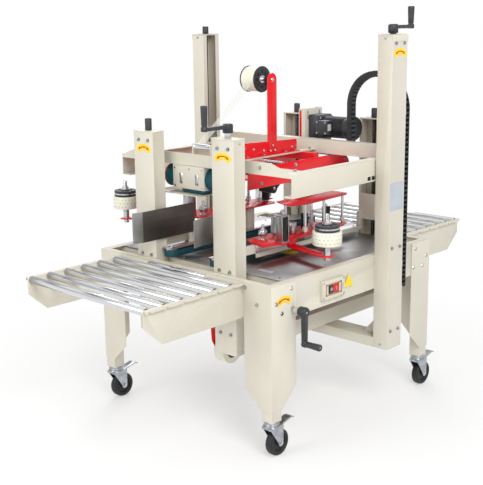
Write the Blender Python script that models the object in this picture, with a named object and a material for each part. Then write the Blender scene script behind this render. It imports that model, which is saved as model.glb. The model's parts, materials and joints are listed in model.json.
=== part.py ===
"""Carton sealer: a bed with roller tables, side belt drives, and four tape heads set by screws and cranks."""

import math

import bmesh
import bpy
from mathutils import Matrix, Vector

# Metres, +Z up. X runs with the cartons (infeed at -X), Y across the machine (operator side at -Y), and the
# floor is at z = 0.
GAP = 0.0003            # between pieces that touch
CLEAR = 0.0005          # between a shaft and its hole, on the radius
SHEET = 0.003           # bent steel sheet

BED_LENGTH = 0.990
BED_WIDTH = 0.916
BED_TOP = 0.640
BED_DEPTH = 0.132
END_FLANGE = 0.022
SIDE_FLANGE = 0.030
PLATE_THICKNESS = 0.006
PLATE_INSET = 0.092     # from the bed's ends to its plate, past the slots for the columns
HEAD_SLOT = (-0.300, 0.220, 0.040)

LEG_WIDTH = 0.130
LEG_TAPER_TOP = 0.253
LEG_TAPER_FOOT = 0.180
LEG_FOOT_WIDTH = 0.055
POST_SIZE = 0.050
POST_FOOT = 0.138

WHEEL_RADIUS = 0.050
WHEEL_WIDTH = 0.030
AXLE_RADIUS = 0.005
CASTER_TRAIL = 0.028

TABLE_LENGTH = 0.455    # past the bed's end
TABLE_HALF_WIDTH = 0.3155
TABLE_TOP = 0.6345
TABLE_FOOT = 0.503
TABLE_LIP = 0.0115
TABLE_CHAMFER = (0.079, 0.0695)
ROLLER_COUNT = 6
ROLLER_RADIUS = 0.014
ROLLER_PITCH = 0.078
ROLLER_INSET = 0.017    # of the first roller from the table's end
ROLLER_Z = 0.625
ROLLER_AXLE = 0.004
NOSE_RADIUS = 0.0105
NOSE_Z = 0.628
NOSE_STANDOFF = 0.015

MAST_X = (0.108, 0.201)
MAST_DEPTH = 0.066
MAST_FOOT = 0.270
MAST_TOP = 1.469
MAST_LIP = 0.020
CAP_OVERHANG = 0.002
BASE_HEIGHT = 0.040
SCREW_RADIUS = 0.009

BEAM_HEIGHT = 0.082
BEAM_DEPTH = 0.045
BEAM_FOOT = 0.928
BEAM_START = -0.3735
BEAM_END = 0.245
BEAM_Y = 0.448
CROSS_RISE = 0.034        # of the infeed cross beam over the side beams
CROSS_CHAMFER = 0.098

COLUMN_DEPTH = 0.056
COLUMN_Y = (0.155, 0.263)
COLUMN_INSET = 0.0285   # from the bed's ends to the columns' back faces
COLUMN_FOOT = 0.337
COLUMN_TOP = 1.125
RAIL_HEIGHT = 0.060
COLUMN_SCREW = 0.008
WIDTH_SCREW = 0.007
WIDTH_SCREW_SPACE = 0.0255  # from the infeed columns' mouths to the width screw
WIDTH_SCREW_Z = 0.538

BELT_FACE = 0.095         # from the middle of the machine to the gripping face of a side belt
BELT_HEIGHT = 0.024
BELT_FOOT = 0.648
BELT_THICKNESS = 0.004
PULLEY_RADIUS = 0.0235
PULLEY_INSET = 0.0775     # from the bed's ends to the pulley centres
COVER_REACH = 0.0225      # of the belt cover past the pulley centres
SKIRT_INSETS = (0.1375, 0.0295)  # of the cover's wide part, from the pulley centres
COVER_OUTER = 0.193
COVER_NARROW = 0.150
ARM_Z = (0.706, 0.770)    # of the arms that ride in the columns

GUIDE_HEIGHT = {"near": (0.737, 0.837), "far": (0.718, 0.835)}
# The infeed guides' lines as (distance from the columns' back faces, distance from the middle).
GUIDES = {"near": ((-0.0735, 0.130), (-0.0235, 0.121), (0.0715, 0.121)),
          "far": ((-0.1185, 0.149), (-0.0785, 0.138), (0.1915, 0.138))}

HEAD_LOW = 0.712          # lower plate of a side tape head
HEAD_HIGH = 0.833         # its upper plate
HEAD_PLATE = 0.004
REEL_POST = (-0.175, 0.447)
ROLL_SEAT = 0.022         # the tape roll's underside over the lower plate
FAR_HEAD_LIFT = 0.055     # the far head sits higher than the near one
FAR_REEL_SHIFT = -0.190   # and its arm leans further upstream
TAPE_RADIUS = 0.054
SIDE_TAPE_RADIUS = {"near": 0.054, "far": 0.050}
TAPE_WIDTH = 0.050
CORE_RADIUS = 0.0375

TOP_HEAD_Y = 0.150
TOP_HEAD_X = (-0.272, 0.350)
TOP_HEAD_Z = (0.912, 0.992)
ARM_PIVOTS = (0.090, 0.180)
ARM_PIVOT_Z = 0.938
ARM_REACH = (0.085, -0.068)
PRESS_ROLLER = 0.020
REEL_ARM_X = (-0.067, -0.016)
REEL_AXIS = (-0.0415, 1.305)
TOP_TAPE_RADIUS = 0.051
TOP_ROLL_Y = 0.020
BOTTOM_REEL = (-0.241, 0.250)

MOTOR_AXIS = (0.335, 1.090)
MOTOR_RADIUS = 0.045
CRANK_REACH = 0.115
GRIP_RADIUS = 0.0125
CHAIN_RADIUS = 0.0155

NEAR, FAR = -1, 1
SIDES = {"near": NEAR, "far": FAR}
ENDS = {"infeed": -1, "outfeed": 1}

halfLength = BED_LENGTH / 2
halfWidth = BED_WIDTH / 2
panelX = halfLength - SHEET - GAP
panelY = halfWidth - SHEET - GAP
bedFoot = BED_TOP - BED_DEPTH
mastInner = panelY + GAP
mastOuter = mastInner + MAST_DEPTH
mastMiddle = (mastInner + mastOuter) / 2
mastX = sum(MAST_X) / 2
beamTop = BEAM_FOOT + BEAM_HEIGHT
columnMiddle = sum(COLUMN_Y) / 2
plateEnd = halfLength - PLATE_INSET
tableEnd = halfLength + TABLE_LENGTH
columnBack = halfLength - COLUMN_INSET
columnMouth = columnBack - COLUMN_DEPTH
columnScrewX = -columnBack + COLUMN_DEPTH / 2
widthScrewX = -columnMouth + WIDTH_SCREW_SPACE
pulleyX = halfLength - PULLEY_INSET
noseX = -(panelX + GAP + NOSE_STANDOFF)
crankFront = -(halfWidth + 0.127)
machineMiddle = (crankFront + mastOuter + CAP_OVERHANG) / 2


def clear_scene():
    for thing in list(bpy.data.objects):
        bpy.data.objects.remove(thing, do_unlink=True)


def collection_named(name):
    made = bpy.data.collections.new(name)
    bpy.context.scene.collection.children.link(made)
    return made


clear_scene()
PARTS = collection_named("carton_sealer")
WORK = collection_named("construction")


def paint(name, colour, roughness, metallic=0.0):
    made = bpy.data.materials.new(name)
    made.use_nodes = True
    shader = made.node_tree.nodes["Principled BSDF"]
    shader.inputs["Base Color"].default_value = (*colour, 1.0)
    shader.inputs["Roughness"].default_value = roughness
    shader.inputs["Metallic"].default_value = metallic
    return made


IVORY = paint("ivory_powder_coat", (0.72, 0.69, 0.58), 0.45)
RED = paint("red_powder_coat", (0.70, 0.01, 0.02), 0.35)
TEAL = paint("teal_rubber", (0.01, 0.09, 0.11), 0.6)
STAINLESS = paint("brushed_stainless", (0.45, 0.44, 0.45), 0.3, 1.0)
CHROME = paint("chrome_plate", (0.75, 0.75, 0.77), 0.12, 1.0)
ZINC = paint("zinc_plate", (0.62, 0.64, 0.66), 0.3, 1.0)
BLACK = paint("black_plastic", (0.02, 0.021, 0.023), 0.45)
TAPE = paint("cream_tape", (0.78, 0.77, 0.62), 0.35)


def solid_from(mesh_work):
    """A helper solid in the work collection, with its faces turned outward."""
    bmesh.ops.remove_doubles(mesh_work, verts=mesh_work.verts, dist=1e-6)
    bmesh.ops.recalc_face_normals(mesh_work, faces=mesh_work.faces)
    mesh = bpy.data.meshes.new("solid")
    mesh_work.to_mesh(mesh)
    mesh_work.free()
    made = bpy.data.objects.new("solid", mesh)
    WORK.objects.link(made)
    return made


def block(x, y, z):
    """A box between two values on each axis."""
    low = Vector((min(x), min(y), min(z)))
    high = Vector((max(x), max(y), max(z)))
    work = bmesh.new()
    bmesh.ops.create_cube(work, size=1.0)
    size = high - low
    bmesh.ops.transform(work, matrix=Matrix.Translation((low + high) / 2) @ Matrix.Diagonal((*size, 1)),
                        verts=work.verts)
    return solid_from(work)


def rod(start, end, radius, sides=16, end_radius=None):
    """A round bar from one point to another; end_radius makes it a cone."""
    start, end = Vector(start), Vector(end)
    work = bmesh.new()
    bmesh.ops.create_cone(work, cap_ends=True, segments=sides, radius1=radius,
                          radius2=radius if end_radius is None else end_radius, depth=(end - start).length)
    turn = Vector((0, 0, 1)).rotation_difference(end - start).to_matrix().to_4x4()
    half_step = Matrix.Rotation(math.pi / sides, 4, "Z")
    bmesh.ops.transform(work, matrix=Matrix.Translation((start + end) / 2) @ turn @ half_step, verts=work.verts)
    return solid_from(work)


PLANES = {
    "x": Matrix(((0, 0, 1, 0), (1, 0, 0, 0), (0, 1, 0, 0), (0, 0, 0, 1))),
    "y": Matrix(((1, 0, 0, 0), (0, 0, -1, 0), (0, 1, 0, 0), (0, 0, 0, 1))),
    "z": Matrix.Identity(4),
}


def slab(axis, span, outline, *holes):
    """A flat outline, with any holes, between two values on the axis it is square to."""
    curve = bpy.data.curves.new("outline", "CURVE")
    curve.dimensions = "2D"
    curve.fill_mode = "BOTH"
    curve.extrude = abs(span[1] - span[0]) / 2
    for points in (outline, *holes):
        spline = curve.splines.new("POLY")
        spline.points.add(len(points) - 1)
        for point, (across, up) in zip(spline.points, points):
            point.co = (across, up, 0, 1)
        spline.use_cyclic_u = True
    flat = bpy.data.objects.new("outline", curve)
    WORK.objects.link(flat)
    bpy.context.view_layer.update()
    mesh = bpy.data.meshes.new_from_object(flat.evaluated_get(bpy.context.evaluated_depsgraph_get()))
    bpy.data.objects.remove(flat)
    work = bmesh.new()
    work.from_mesh(mesh)
    bpy.data.meshes.remove(mesh)
    middle = (span[0] + span[1]) / 2
    place = Matrix.Translation(Vector([middle if axis == letter else 0 for letter in "xyz"])) @ PLANES[axis]
    bmesh.ops.transform(work, matrix=place, verts=work.verts)
    return solid_from(work)


def rectangle(x, y):
    return [(x[0], y[0]), (x[1], y[0]), (x[1], y[1]), (x[0], y[1])]


def arc(centre, radius, first, last, steps):
    """Points on a circle between two angles in degrees."""
    angles = [math.radians(first + (last - first) * step / steps) for step in range(steps + 1)]
    return [(centre[0] + radius * math.cos(a), centre[1] + radius * math.sin(a)) for a in angles]


def channel(back, front, sides, sheet=SHEET, lip=0.0):
    """Outline of a bent channel as (depth, across): its web at back, its mouth at front."""
    inward = math.copysign(sheet, front - back)
    low, high = sides
    outline = [(front, low), (back, low), (back, high), (front, high)]
    inner = [(front, high - sheet), (back + inward, high - sheet), (back + inward, low + sheet),
             (front, low + sheet)]
    if lip:
        inner = [(front, high - lip), (front - inward, high - lip), (front - inward, high - sheet),
                 (back + inward, high - sheet), (back + inward, low + sheet), (front - inward, low + sheet),
                 (front - inward, low + lip), (front, low + lip)]
    return outline + inner


def swapped(points):
    return [(b, a) for a, b in points]


def piece(name, material, solids, cuts=(), pivot=(0, 0, 0), parent=None, smooth=True):
    """Joins the solids into one body, takes the cuts away, and places it with its origin on its pivot."""
    base = solids[0]
    for operation, others in (("UNION", solids[1:]), ("DIFFERENCE", cuts)):
        for other in others:
            modifier = base.modifiers.new(operation.lower(), "BOOLEAN")
            modifier.operation = operation
            modifier.solver = "EXACT"
            modifier.object = other
    bpy.context.view_layer.update()
    mesh = bpy.data.meshes.new_from_object(base.evaluated_get(bpy.context.evaluated_depsgraph_get()))
    for helper in (*solids, *cuts):
        bpy.data.objects.remove(helper)
    mesh.name = name
    mesh.transform(Matrix.Translation(-Vector(pivot)))
    mesh.materials.clear()
    mesh.materials.append(material)
    if smooth:
        mesh.shade_smooth()
        mesh.set_sharp_from_angle(angle=math.radians(30))
    made = bpy.data.objects.new(name, mesh)
    PARTS.objects.link(made)
    holder = parent or machine
    made.parent = holder
    made.location = Vector(pivot) - Vector(holder.get("pivot", (0, 0, 0)))
    made["pivot"] = pivot
    return made


machine = bpy.data.objects.new("machine", None)
machine.location = (0, -machineMiddle, 0)
PARTS.objects.link(machine)


def make_bed():
    walls = slab("z", (bedFoot, BED_TOP), rectangle((-panelX, panelX), (-panelY, panelY)),
                 rectangle((SHEET - panelX, panelX - SHEET), (SHEET - panelY, panelY - SHEET)))
    flange = slab("z", (BED_TOP - SHEET, BED_TOP), rectangle((-panelX, panelX), (-panelY, panelY)),
                  rectangle((END_FLANGE - panelX, panelX - END_FLANGE),
                            (SIDE_FLANGE - panelY, panelY - SIDE_FLANGE)))
    under = BED_TOP - PLATE_THICKNESS - GAP
    bars = [block((middle - 0.015, middle + 0.015), (-panelY + 0.001, panelY - 0.001), (under - 0.034, under))
            for middle in (0.018 - plateEnd, plateEnd - 0.018)]
    screw_hole = rod((widthScrewX, -halfWidth - 0.01, WIDTH_SCREW_Z),
                     (widthScrewX, -halfWidth + 0.02, WIDTH_SCREW_Z), WIDTH_SCREW + CLEAR)
    piece("bed_frame", IVORY, [walls, flange, *bars], [screw_hole])
    start, end, half = HEAD_SLOT
    edge = panelY - SIDE_FLANGE - GAP
    piece("bed_plate", STAINLESS,
          [slab("z", (BED_TOP - PLATE_THICKNESS, BED_TOP),
                rectangle((-plateEnd, plateEnd), (-edge, edge)),
                rectangle((start, end), (-half, half)))])


def make_leg(end, side):
    """A folded corner shell that tapers to a square post, as one welding."""
    sx, sy = ENDS[end], SIDES[side]
    top = BED_TOP - GAP

    def face(outer):
        return [(outer, top), (outer, LEG_TAPER_FOOT), (outer - LEG_FOOT_WIDTH, LEG_TAPER_FOOT),
                (outer - LEG_WIDTH, LEG_TAPER_TOP), (outer - LEG_WIDTH, top)]

    def turned(points, sign):
        return [(sign * a, b) for a, b in points]

    end_face = slab("x", (sx * (halfLength - SHEET), sx * halfLength), turned(face(halfWidth), sy))
    side_face = slab("y", (sy * (halfWidth - SHEET), sy * halfWidth), turned(face(halfLength), sx))
    outer_x, outer_y = halfLength - SHEET + 0.001, halfWidth - SHEET + 0.001
    post = block((sx * outer_x, sx * (outer_x - POST_SIZE)), (sy * outer_y, sy * (outer_y - POST_SIZE)),
                 (POST_FOOT, bedFoot - GAP))
    hollow = block((sx * (outer_x - SHEET), sx * (outer_x - POST_SIZE + SHEET)),
                   (sy * (outer_y - SHEET), sy * (outer_y - POST_SIZE + SHEET)), (POST_FOOT + 0.006, bedFoot + 0.01))
    cuts = [hollow]
    if (end, side) == ("infeed", "near"):
        cuts.append(rod((widthScrewX, -halfWidth - 0.01, WIDTH_SCREW_Z),
                        (widthScrewX, -halfWidth + 0.02, WIDTH_SCREW_Z), WIDTH_SCREW + CLEAR))
    piece(f"leg_{end}_{side}", IVORY, [end_face, side_face, post], cuts)
    return sx * (outer_x - POST_SIZE / 2), sy * (outer_y - POST_SIZE / 2)


def make_caster(end, side, x, y):
    axle_x = x + CASTER_TRAIL
    cheek_y = WHEEL_WIDTH / 2 + 0.0025
    plate_top = POST_FOOT - GAP
    head = rod((x, y, plate_top - 0.022), (x, y, plate_top), 0.028, 24)
    crown = block((x - 0.030, axle_x + 0.014), (y - cheek_y - SHEET, y + cheek_y + SHEET),
                  (plate_top - 0.026, plate_top - 0.018))
    cheeks = []
    for sign in (-1, 1):
        inner = y + sign * cheek_y
        outline = [(x - 0.030, plate_top - 0.020), (axle_x - 0.013, WHEEL_RADIUS)]
        outline += arc((axle_x, WHEEL_RADIUS), 0.013, 200, 340, 6)
        outline += [(axle_x + 0.014, plate_top - 0.020)]
        cheeks.append(slab("y", (inner, inner + sign * SHEET), outline))
    pedal = slab("y", (y - 0.016, y + 0.016),
                 [(axle_x + 0.005, plate_top - 0.019), (axle_x + 0.060, plate_top - 0.006),
                  (axle_x + 0.076, plate_top - 0.010), (axle_x + 0.076, plate_top - 0.014),
                  (axle_x + 0.060, plate_top - 0.011), (axle_x + 0.005, plate_top - 0.025)])
    reach = cheek_y + SHEET + 0.004
    axle = rod((axle_x, y - reach, WHEEL_RADIUS), (axle_x, y + reach, WHEEL_RADIUS), AXLE_RADIUS, 12)
    fork = piece(f"caster_fork_{end}_{side}", ZINC, [head, crown, *cheeks, pedal, axle], pivot=(x, y, POST_FOOT))
    half = WHEEL_WIDTH / 2
    tread = WHEEL_RADIUS / math.cos(math.pi / 32)  # so that its lowest facet lies on the floor
    tyre = rod((axle_x, y - half, WHEEL_RADIUS), (axle_x, y + half, WHEEL_RADIUS), tread, 32)
    bore = rod((axle_x, y - 0.03, WHEEL_RADIUS), (axle_x, y + 0.03, WHEEL_RADIUS), AXLE_RADIUS + CLEAR, 12)
    dishes = [rod((axle_x, y + sign * (half - 0.006), WHEEL_RADIUS), (axle_x, y + sign * 0.03, WHEEL_RADIUS),
                  0.034, 24) for sign in (-1, 1)]
    piece(f"caster_wheel_{end}_{side}", BLACK, [tyre], [*dishes, bore], pivot=(axle_x, y, WHEEL_RADIUS),
          parent=fork)


def roller_places(end):
    first = tableEnd - ROLLER_INSET
    return [ENDS[end] * (first - number * ROLLER_PITCH) for number in range(ROLLER_COUNT)]


def make_table(end):
    """Two lipped side plates on a cross plate that is bolted to the bed's end."""
    sign = ENDS[end]
    inner, outer = panelX + GAP, tableEnd
    run, rise = TABLE_CHAMFER
    outline = [(inner, TABLE_FOOT), (outer - run, TABLE_FOOT), (outer, TABLE_FOOT + rise), (outer, TABLE_TOP),
               (inner, TABLE_TOP)]
    outline = [(sign * a, b) for a, b in outline]
    solids = []
    for side in (NEAR, FAR):
        face = side * TABLE_HALF_WIDTH
        solids.append(slab("y", (face - side * SHEET, face), outline))
        lip = [(face - side * 0.001, TABLE_TOP - SHEET), (face - side * 0.001, TABLE_TOP),
               (face + side * TABLE_LIP, TABLE_TOP), (face + side * TABLE_LIP, TABLE_TOP - 0.011),
               (face + side * (TABLE_LIP - SHEET), TABLE_TOP - 0.011),
               (face + side * (TABLE_LIP - SHEET), TABLE_TOP - SHEET)]
        solids.append(slab("x", (sign * (inner + 0.001), sign * outer), lip))
    half = TABLE_HALF_WIDTH - SHEET + 0.001
    solids.append(block((sign * inner, sign * (inner + SHEET)), (-half, half), (TABLE_FOOT + 0.002, 0.606)))
    if end == "infeed":
        start = panelX + GAP + 0.004
        for side in (NEAR, FAR):
            solids.append(block((-start, -start - 0.022), (side * 0.153, side * half), (0.600, 0.638)))
            solids.append(block((-inner, -start - 0.010), (side * 0.153, side * half), (0.585, 0.605)))
    cuts = [rod((x, -0.33, ROLLER_Z), (x, 0.33, ROLLER_Z), ROLLER_AXLE + CLEAR, 8) for x in roller_places(end)]
    if end == "infeed":
        cuts.append(rod((noseX, -0.20, NOSE_Z), (noseX, 0.20, NOSE_Z), ROLLER_AXLE + CLEAR, 8))
    piece(f"{end}_table", IVORY, solids, cuts)


def make_roller(name, x, z, half_length, radius, axle_half):
    tube = rod((x, -half_length, z), (x, half_length, z), radius, 20)
    axle = rod((x, -axle_half, z), (x, axle_half, z), ROLLER_AXLE, 8)
    piece(name, CHROME, [tube, axle], pivot=(x, 0, z))


def make_rollers():
    for end in ENDS:
        for number, x in enumerate(roller_places(end), 1):
            make_roller(f"{end}_roller_{number}", x, ROLLER_Z, TABLE_HALF_WIDTH - SHEET - 0.003, ROLLER_RADIUS,
                        TABLE_HALF_WIDTH + 0.004)
    make_roller("infeed_nose_roller", noseX, NOSE_Z, 0.151, NOSE_RADIUS, 0.160)


def make_mast(side):
    sign = SIDES[side]
    outline = channel(sign * mastOuter, sign * mastInner, MAST_X, lip=MAST_LIP)
    body = slab("z", (MAST_FOOT, MAST_TOP), swapped(outline))
    across = (MAST_X[0] - CAP_OVERHANG, MAST_X[1] + CAP_OVERHANG)
    reach = mastOuter + CAP_OVERHANG
    cap = block(across, (sign * mastInner, sign * reach), (MAST_TOP - 0.001, MAST_TOP + 0.004))
    apron = block(across, (sign * (mastOuter - 0.001), sign * reach), (MAST_TOP - 0.022, MAST_TOP + 0.002))
    hole = rod((mastX, sign * mastMiddle, MAST_TOP - 0.01), (mastX, sign * mastMiddle, MAST_TOP + 0.01),
               SCREW_RADIUS + CLEAR)
    piece(f"mast_{side}", IVORY, [body, cap, apron], [hole])


def make_mast_base():
    reach = panelY
    web_top = MAST_FOOT + BASE_HEIGHT
    beam = slab("y", (-reach, reach), channel_down(MAST_X, web_top, MAST_FOOT))
    gussets = [slab("x", (mastX - 0.0015, mastX + 0.0015),
                    [(sign * reach, web_top - 0.001), (sign * reach, web_top + 0.085),
                     (sign * (reach - 0.080), web_top - 0.001)]) for sign in (NEAR, FAR)]
    piece("mast_base", IVORY, [beam, *gussets])


def channel_down(across, web, mouth):
    """Outline (x, z) of a channel with its mouth down."""
    return swapped(channel(web, mouth, across))


def make_crank(name, pivot, outward, arm, screw_start, screw_radius, parent=None, grip_length=0.075, neck=0.0):
    """A screw with a crank on its end: hub, arm, and a grip that stands off along the screw's axis."""
    outward, arm = Vector(outward), Vector(arm)
    base = Vector(pivot) + outward * neck
    screw = rod(Vector(screw_start), base + outward * 0.020, screw_radius, 16)
    hub = rod(base + outward * 0.004, base + outward * 0.034, 0.019, 20)
    collar = rod(base - outward * (neck - 0.003), base + outward * 0.006, 0.012, 16)
    tip = base + arm * CRANK_REACH
    across = outward.cross(arm)
    thick = outward * 0.006
    mid = outward * 0.026
    corners = [base + mid + across * 0.013, base + mid - across * 0.013,
               tip + mid - across * 0.009, tip + mid + across * 0.009]
    work = bmesh.new()
    low = [work.verts.new(c - thick) for c in corners]
    high = [work.verts.new(c + thick) for c in corners]
    work.faces.new(low)
    work.faces.new(high)
    for index in range(4):
        after = (index + 1) % 4
        work.faces.new((low[index], low[after], high[after], high[index]))
    bar = solid_from(work)
    grip = rod(tip + outward * 0.022, tip + outward * (0.032 + grip_length), 0.0105, 16, GRIP_RADIUS)
    eye = rod(tip + outward * 0.018, tip + outward * 0.034, 0.0125, 16)
    return piece(name, BLACK, [screw, hub, collar, bar, eye, grip], pivot=tuple(pivot), parent=parent)


def make_mast_screws():
    foot = MAST_FOOT + BASE_HEIGHT + 0.010
    top = MAST_TOP + 0.004
    make_crank("mast_crank", (mastX, -mastMiddle, top), (0, 0, 1), (1, 0, 0), (mastX, -mastMiddle, foot),
               SCREW_RADIUS, grip_length=0.068)
    screw = rod((mastX, mastMiddle, foot), (mastX, mastMiddle, top + 0.020), SCREW_RADIUS, 16)
    sleeve = rod((mastX, mastMiddle, top + 0.004), (mastX, mastMiddle, top + 0.032), 0.013, 20)
    piece("mast_screw_far", BLACK, [screw, sleeve], pivot=(mastX, mastMiddle, top))


def make_carriage():
    solids = []
    cuts = []
    for sign in (NEAR, FAR):
        web, mouth = sign * BEAM_Y, sign * (BEAM_Y - BEAM_DEPTH)
        solids.append(slab("x", (BEAM_START, BEAM_END), channel(web, mouth, (BEAM_FOOT, beamTop))))
        neck = (MAST_X[0] + MAST_LIP + 0.004, MAST_X[1] - MAST_LIP - 0.004)
        solids.append(block(neck, (web - sign * 0.001, sign * (mastOuter - 0.010)),
                            (BEAM_FOOT + 0.01, beamTop - 0.01)))
        cuts.append(rod((mastX, sign * mastMiddle, BEAM_FOOT - 0.01), (mastX, sign * mastMiddle, beamTop + 0.01),
                        SCREW_RADIUS + CLEAR))
    cross_top = beamTop + CROSS_RISE
    reach = BEAM_Y
    bevel = CROSS_CHAMFER
    front = slab("x", (BEAM_START, BEAM_START + SHEET),
                 [(-reach, beamTop - 0.012), (reach, beamTop - 0.012), (reach, beamTop),
                  (reach - bevel, cross_top), (bevel - reach, cross_top), (-reach, beamTop)])
    front_flange = block((BEAM_START, BEAM_START + 0.094), (-reach, reach), (beamTop - 0.001, beamTop + 0.002))
    upright = rectangle((BEAM_START + 0.001, BEAM_START + 0.026), (cross_top - 0.010, 1.083))
    guides = [slab("y", (y, y + SHEET), upright) for y in (-0.054, 0.039)]
    guides.append(rod((BEAM_START + 0.0135, -0.053, 1.071), (BEAM_START + 0.0135, 0.040, 1.071), 0.0115, 20))
    rear_x = BEAM_END - 0.040
    rear = slab("y", (-reach + 0.05, reach - 0.05),
                [(rear_x, beamTop - 0.012), (rear_x, cross_top + 0.008), (BEAM_END, cross_top + 0.008),
                 (BEAM_END, cross_top + 0.005), (rear_x + SHEET, cross_top + 0.005),
                 (rear_x + SHEET, beamTop - 0.012)])
    rear_foot = block((rear_x, BEAM_END), (-reach, reach), (beamTop - 0.001, beamTop + 0.002))
    bars = [block((BEAM_START + 0.040, rear_x + 0.002), (sign * 0.055, sign * 0.085),
                  (beamTop - 0.0005, beamTop + 0.0055)) for sign in (NEAR, FAR)]
    shelf = block((-0.385, -0.279), (0.000, 0.250), (0.885, 0.888))
    back = block((-0.2815, -0.279), (0.120, 0.200), (0.886, beamTop))
    tray = block((rear_x + 0.002, 0.395), (-0.060, 0.070), (beamTop - 0.001, beamTop + 0.004))
    stand = slab("z", (beamTop + 0.003, 1.165), swapped(channel(0.022, 0.056, (0.268, 0.380))))
    solids += [front, front_flange, *guides, rear, rear_foot, *bars, shelf, back, tray, stand]
    return piece("top_carriage", IVORY, solids, cuts, pivot=(0, 0, BEAM_FOOT))


def make_top_head(carriage):
    start, end = TOP_HEAD_X
    low, high = TOP_HEAD_Z
    outline = [(start, low), (end, low), *arc((end - 0.06, high - 0.06), 0.06, 0, 90, 8), (start, high)]
    solids = [slab("y", (sign * TOP_HEAD_Y, sign * (TOP_HEAD_Y - SHEET)), outline) for sign in (NEAR, FAR)]
    half = TOP_HEAD_Y - 0.001
    for x in (-0.190, 0.130):
        solids.append(block((x - 0.015, x + 0.015), (-half, half), (high - 0.012, beamTop - 0.0005 - GAP)))
    for x in (start + 0.02, 0.0, end - 0.03):
        solids.append(rod((x, -half, high - 0.014), (x, half, high - 0.014), 0.006, 12))
    for x in ARM_PIVOTS:
        solids.append(rod((x, -half, ARM_PIVOT_Z), (x, half, ARM_PIVOT_Z), 0.007, 12))
    head = piece("top_head", RED, solids, parent=carriage, pivot=(0, 0, high))
    for name, pivot_x, direction in (("front", ARM_PIVOTS[0], -1), ("rear", ARM_PIVOTS[1], 1)):
        make_press_arm(name, pivot_x, direction, head)


def make_press_arm(name, pivot_x, direction, head):
    tip_x, tip_z = pivot_x + direction * ARM_REACH[0], ARM_PIVOT_Z + ARM_REACH[1]
    lean = Vector((tip_x - pivot_x, tip_z - ARM_PIVOT_Z)).normalized() * 0.013
    across = Vector((-lean.y, lean.x))
    outline = [Vector((pivot_x, ARM_PIVOT_Z)) - lean + across, Vector((tip_x, tip_z)) + across,
               Vector((tip_x, tip_z)) - across, Vector((pivot_x, ARM_PIVOT_Z)) - lean - across]
    cheeks = [slab("y", (sign * 0.032, sign * 0.035), [tuple(p) for p in outline]) for sign in (NEAR, FAR)]
    hub = rod((pivot_x, -0.034, ARM_PIVOT_Z), (pivot_x, 0.034, ARM_PIVOT_Z), 0.013, 16)
    roller = rod((tip_x, -0.034, tip_z), (tip_x, 0.034, tip_z), PRESS_ROLLER, 20)
    bore = rod((pivot_x, -0.05, ARM_PIVOT_Z), (pivot_x, 0.05, ARM_PIVOT_Z), 0.007 + CLEAR, 12)
    piece(f"top_press_arm_{name}", BLACK, [hub, roller, *cheeks], [bore], pivot=(pivot_x, 0, ARM_PIVOT_Z),
          parent=head)


def make_top_reel(carriage):
    x, z = REEL_AXIS
    foot = beamTop + 0.0055 + GAP
    bracket = slab("y", (-0.064, -0.060),
                   [(-0.215, foot), (0.110, foot), (0.110, foot + 0.046), (-0.215, foot + 0.058)])
    sole = block((-0.214, 0.109), (-0.083, -0.061), (foot, foot + SHEET))
    low, high = REEL_ARM_X
    middle = (low + high) / 2
    arm = slab("y", (-0.0685, -0.0635), [(high, foot + 0.010), *arc((middle, z), (high - low) / 2, 0, 180, 10),
                                         (low, foot + 0.010)])
    pin = rod((x, -0.066, z), (x, 0.066, z), 0.008, 16)
    stop = rod((x, -0.064, z), (x, -0.040, z), 0.013, 20)
    arm_piece = piece("top_reel_arm", RED, [bracket, sole, arm, pin, stop], parent=carriage, pivot=(0, 0, foot))
    make_roll("top_tape_roll", (x, TOP_ROLL_Y, z), (0, 1, 0), 0.034, TOP_TAPE_RADIUS, 0.008, arm_piece, rims=True)


def make_roll(name, centre, axis, half_width, radius, pin_radius, parent, rims=False, collar=0.0):
    """A roll of tape on its core; rims are the core's end flanges, collar a taller core on one side."""
    centre, axis = Vector(centre), Vector(axis)
    reach = half_width + (0.003 if rims else 0.0)
    solids = [rod(centre - axis * half_width, centre + axis * half_width, radius - (0.003 if rims else 0.0), 32)]
    if rims:
        for sign in (-1, 1):
            start = centre + axis * sign * (half_width - 0.001)
            solids.append(rod(start, centre + axis * sign * reach, radius, 32))
    if collar:
        solids.append(rod(centre, centre + axis * (half_width + collar), 0.045, 28))
    far_reach = half_width + 0.08
    cuts = [rod(centre - axis * far_reach, centre + axis * far_reach, pin_radius + CLEAR, 16)]
    piece(name, TAPE, solids, cuts, pivot=tuple(centre), parent=parent)


def make_bottom_head():
    cross = BED_TOP - PLATE_THICKNESS - GAP
    end = plateEnd - 0.033 - GAP
    start = -end
    top = cross - 0.005
    outline = [(start, 0.600), (start, top), (end, top), (end, 0.602), (0.190, 0.598), (0.170, 0.500),
               (-0.250, 0.501), (-0.270, 0.596)]
    solids = [slab("y", (sign * 0.033, sign * 0.036), outline) for sign in (NEAR, FAR)]
    for x, z in ((-0.230, 0.520), (0.150, 0.520), (-0.040, 0.520), (-0.330, 0.614), (0.270, 0.614)):
        solids.append(rod((x, -0.034, z), (x, 0.034, z), 0.006, 12))
    for x in (-0.200, 0.120):
        solids.append(rod((x, -0.034, 0.626), (x, 0.034, 0.626), 0.020, 20))
    x, z = BOTTOM_REEL
    arm = slab("y", (0.0335, 0.0375),
               [(-0.270, 0.540), (-0.220, 0.540), (-0.214, z), *arc((x, z), 0.028, 330, 210, 6),
                (-0.295, 0.290), (-0.300, 0.360)])
    pin = rod((x, -0.032, z), (x, 0.036, z), 0.008, 16)
    head = piece("bottom_head", RED, [*solids, arm, pin], pivot=(0, 0, 0.6))
    make_roll("bottom_tape_roll", (x, 0, z), (0, 1, 0), 0.0255, TAPE_RADIUS, 0.008, head)


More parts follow.
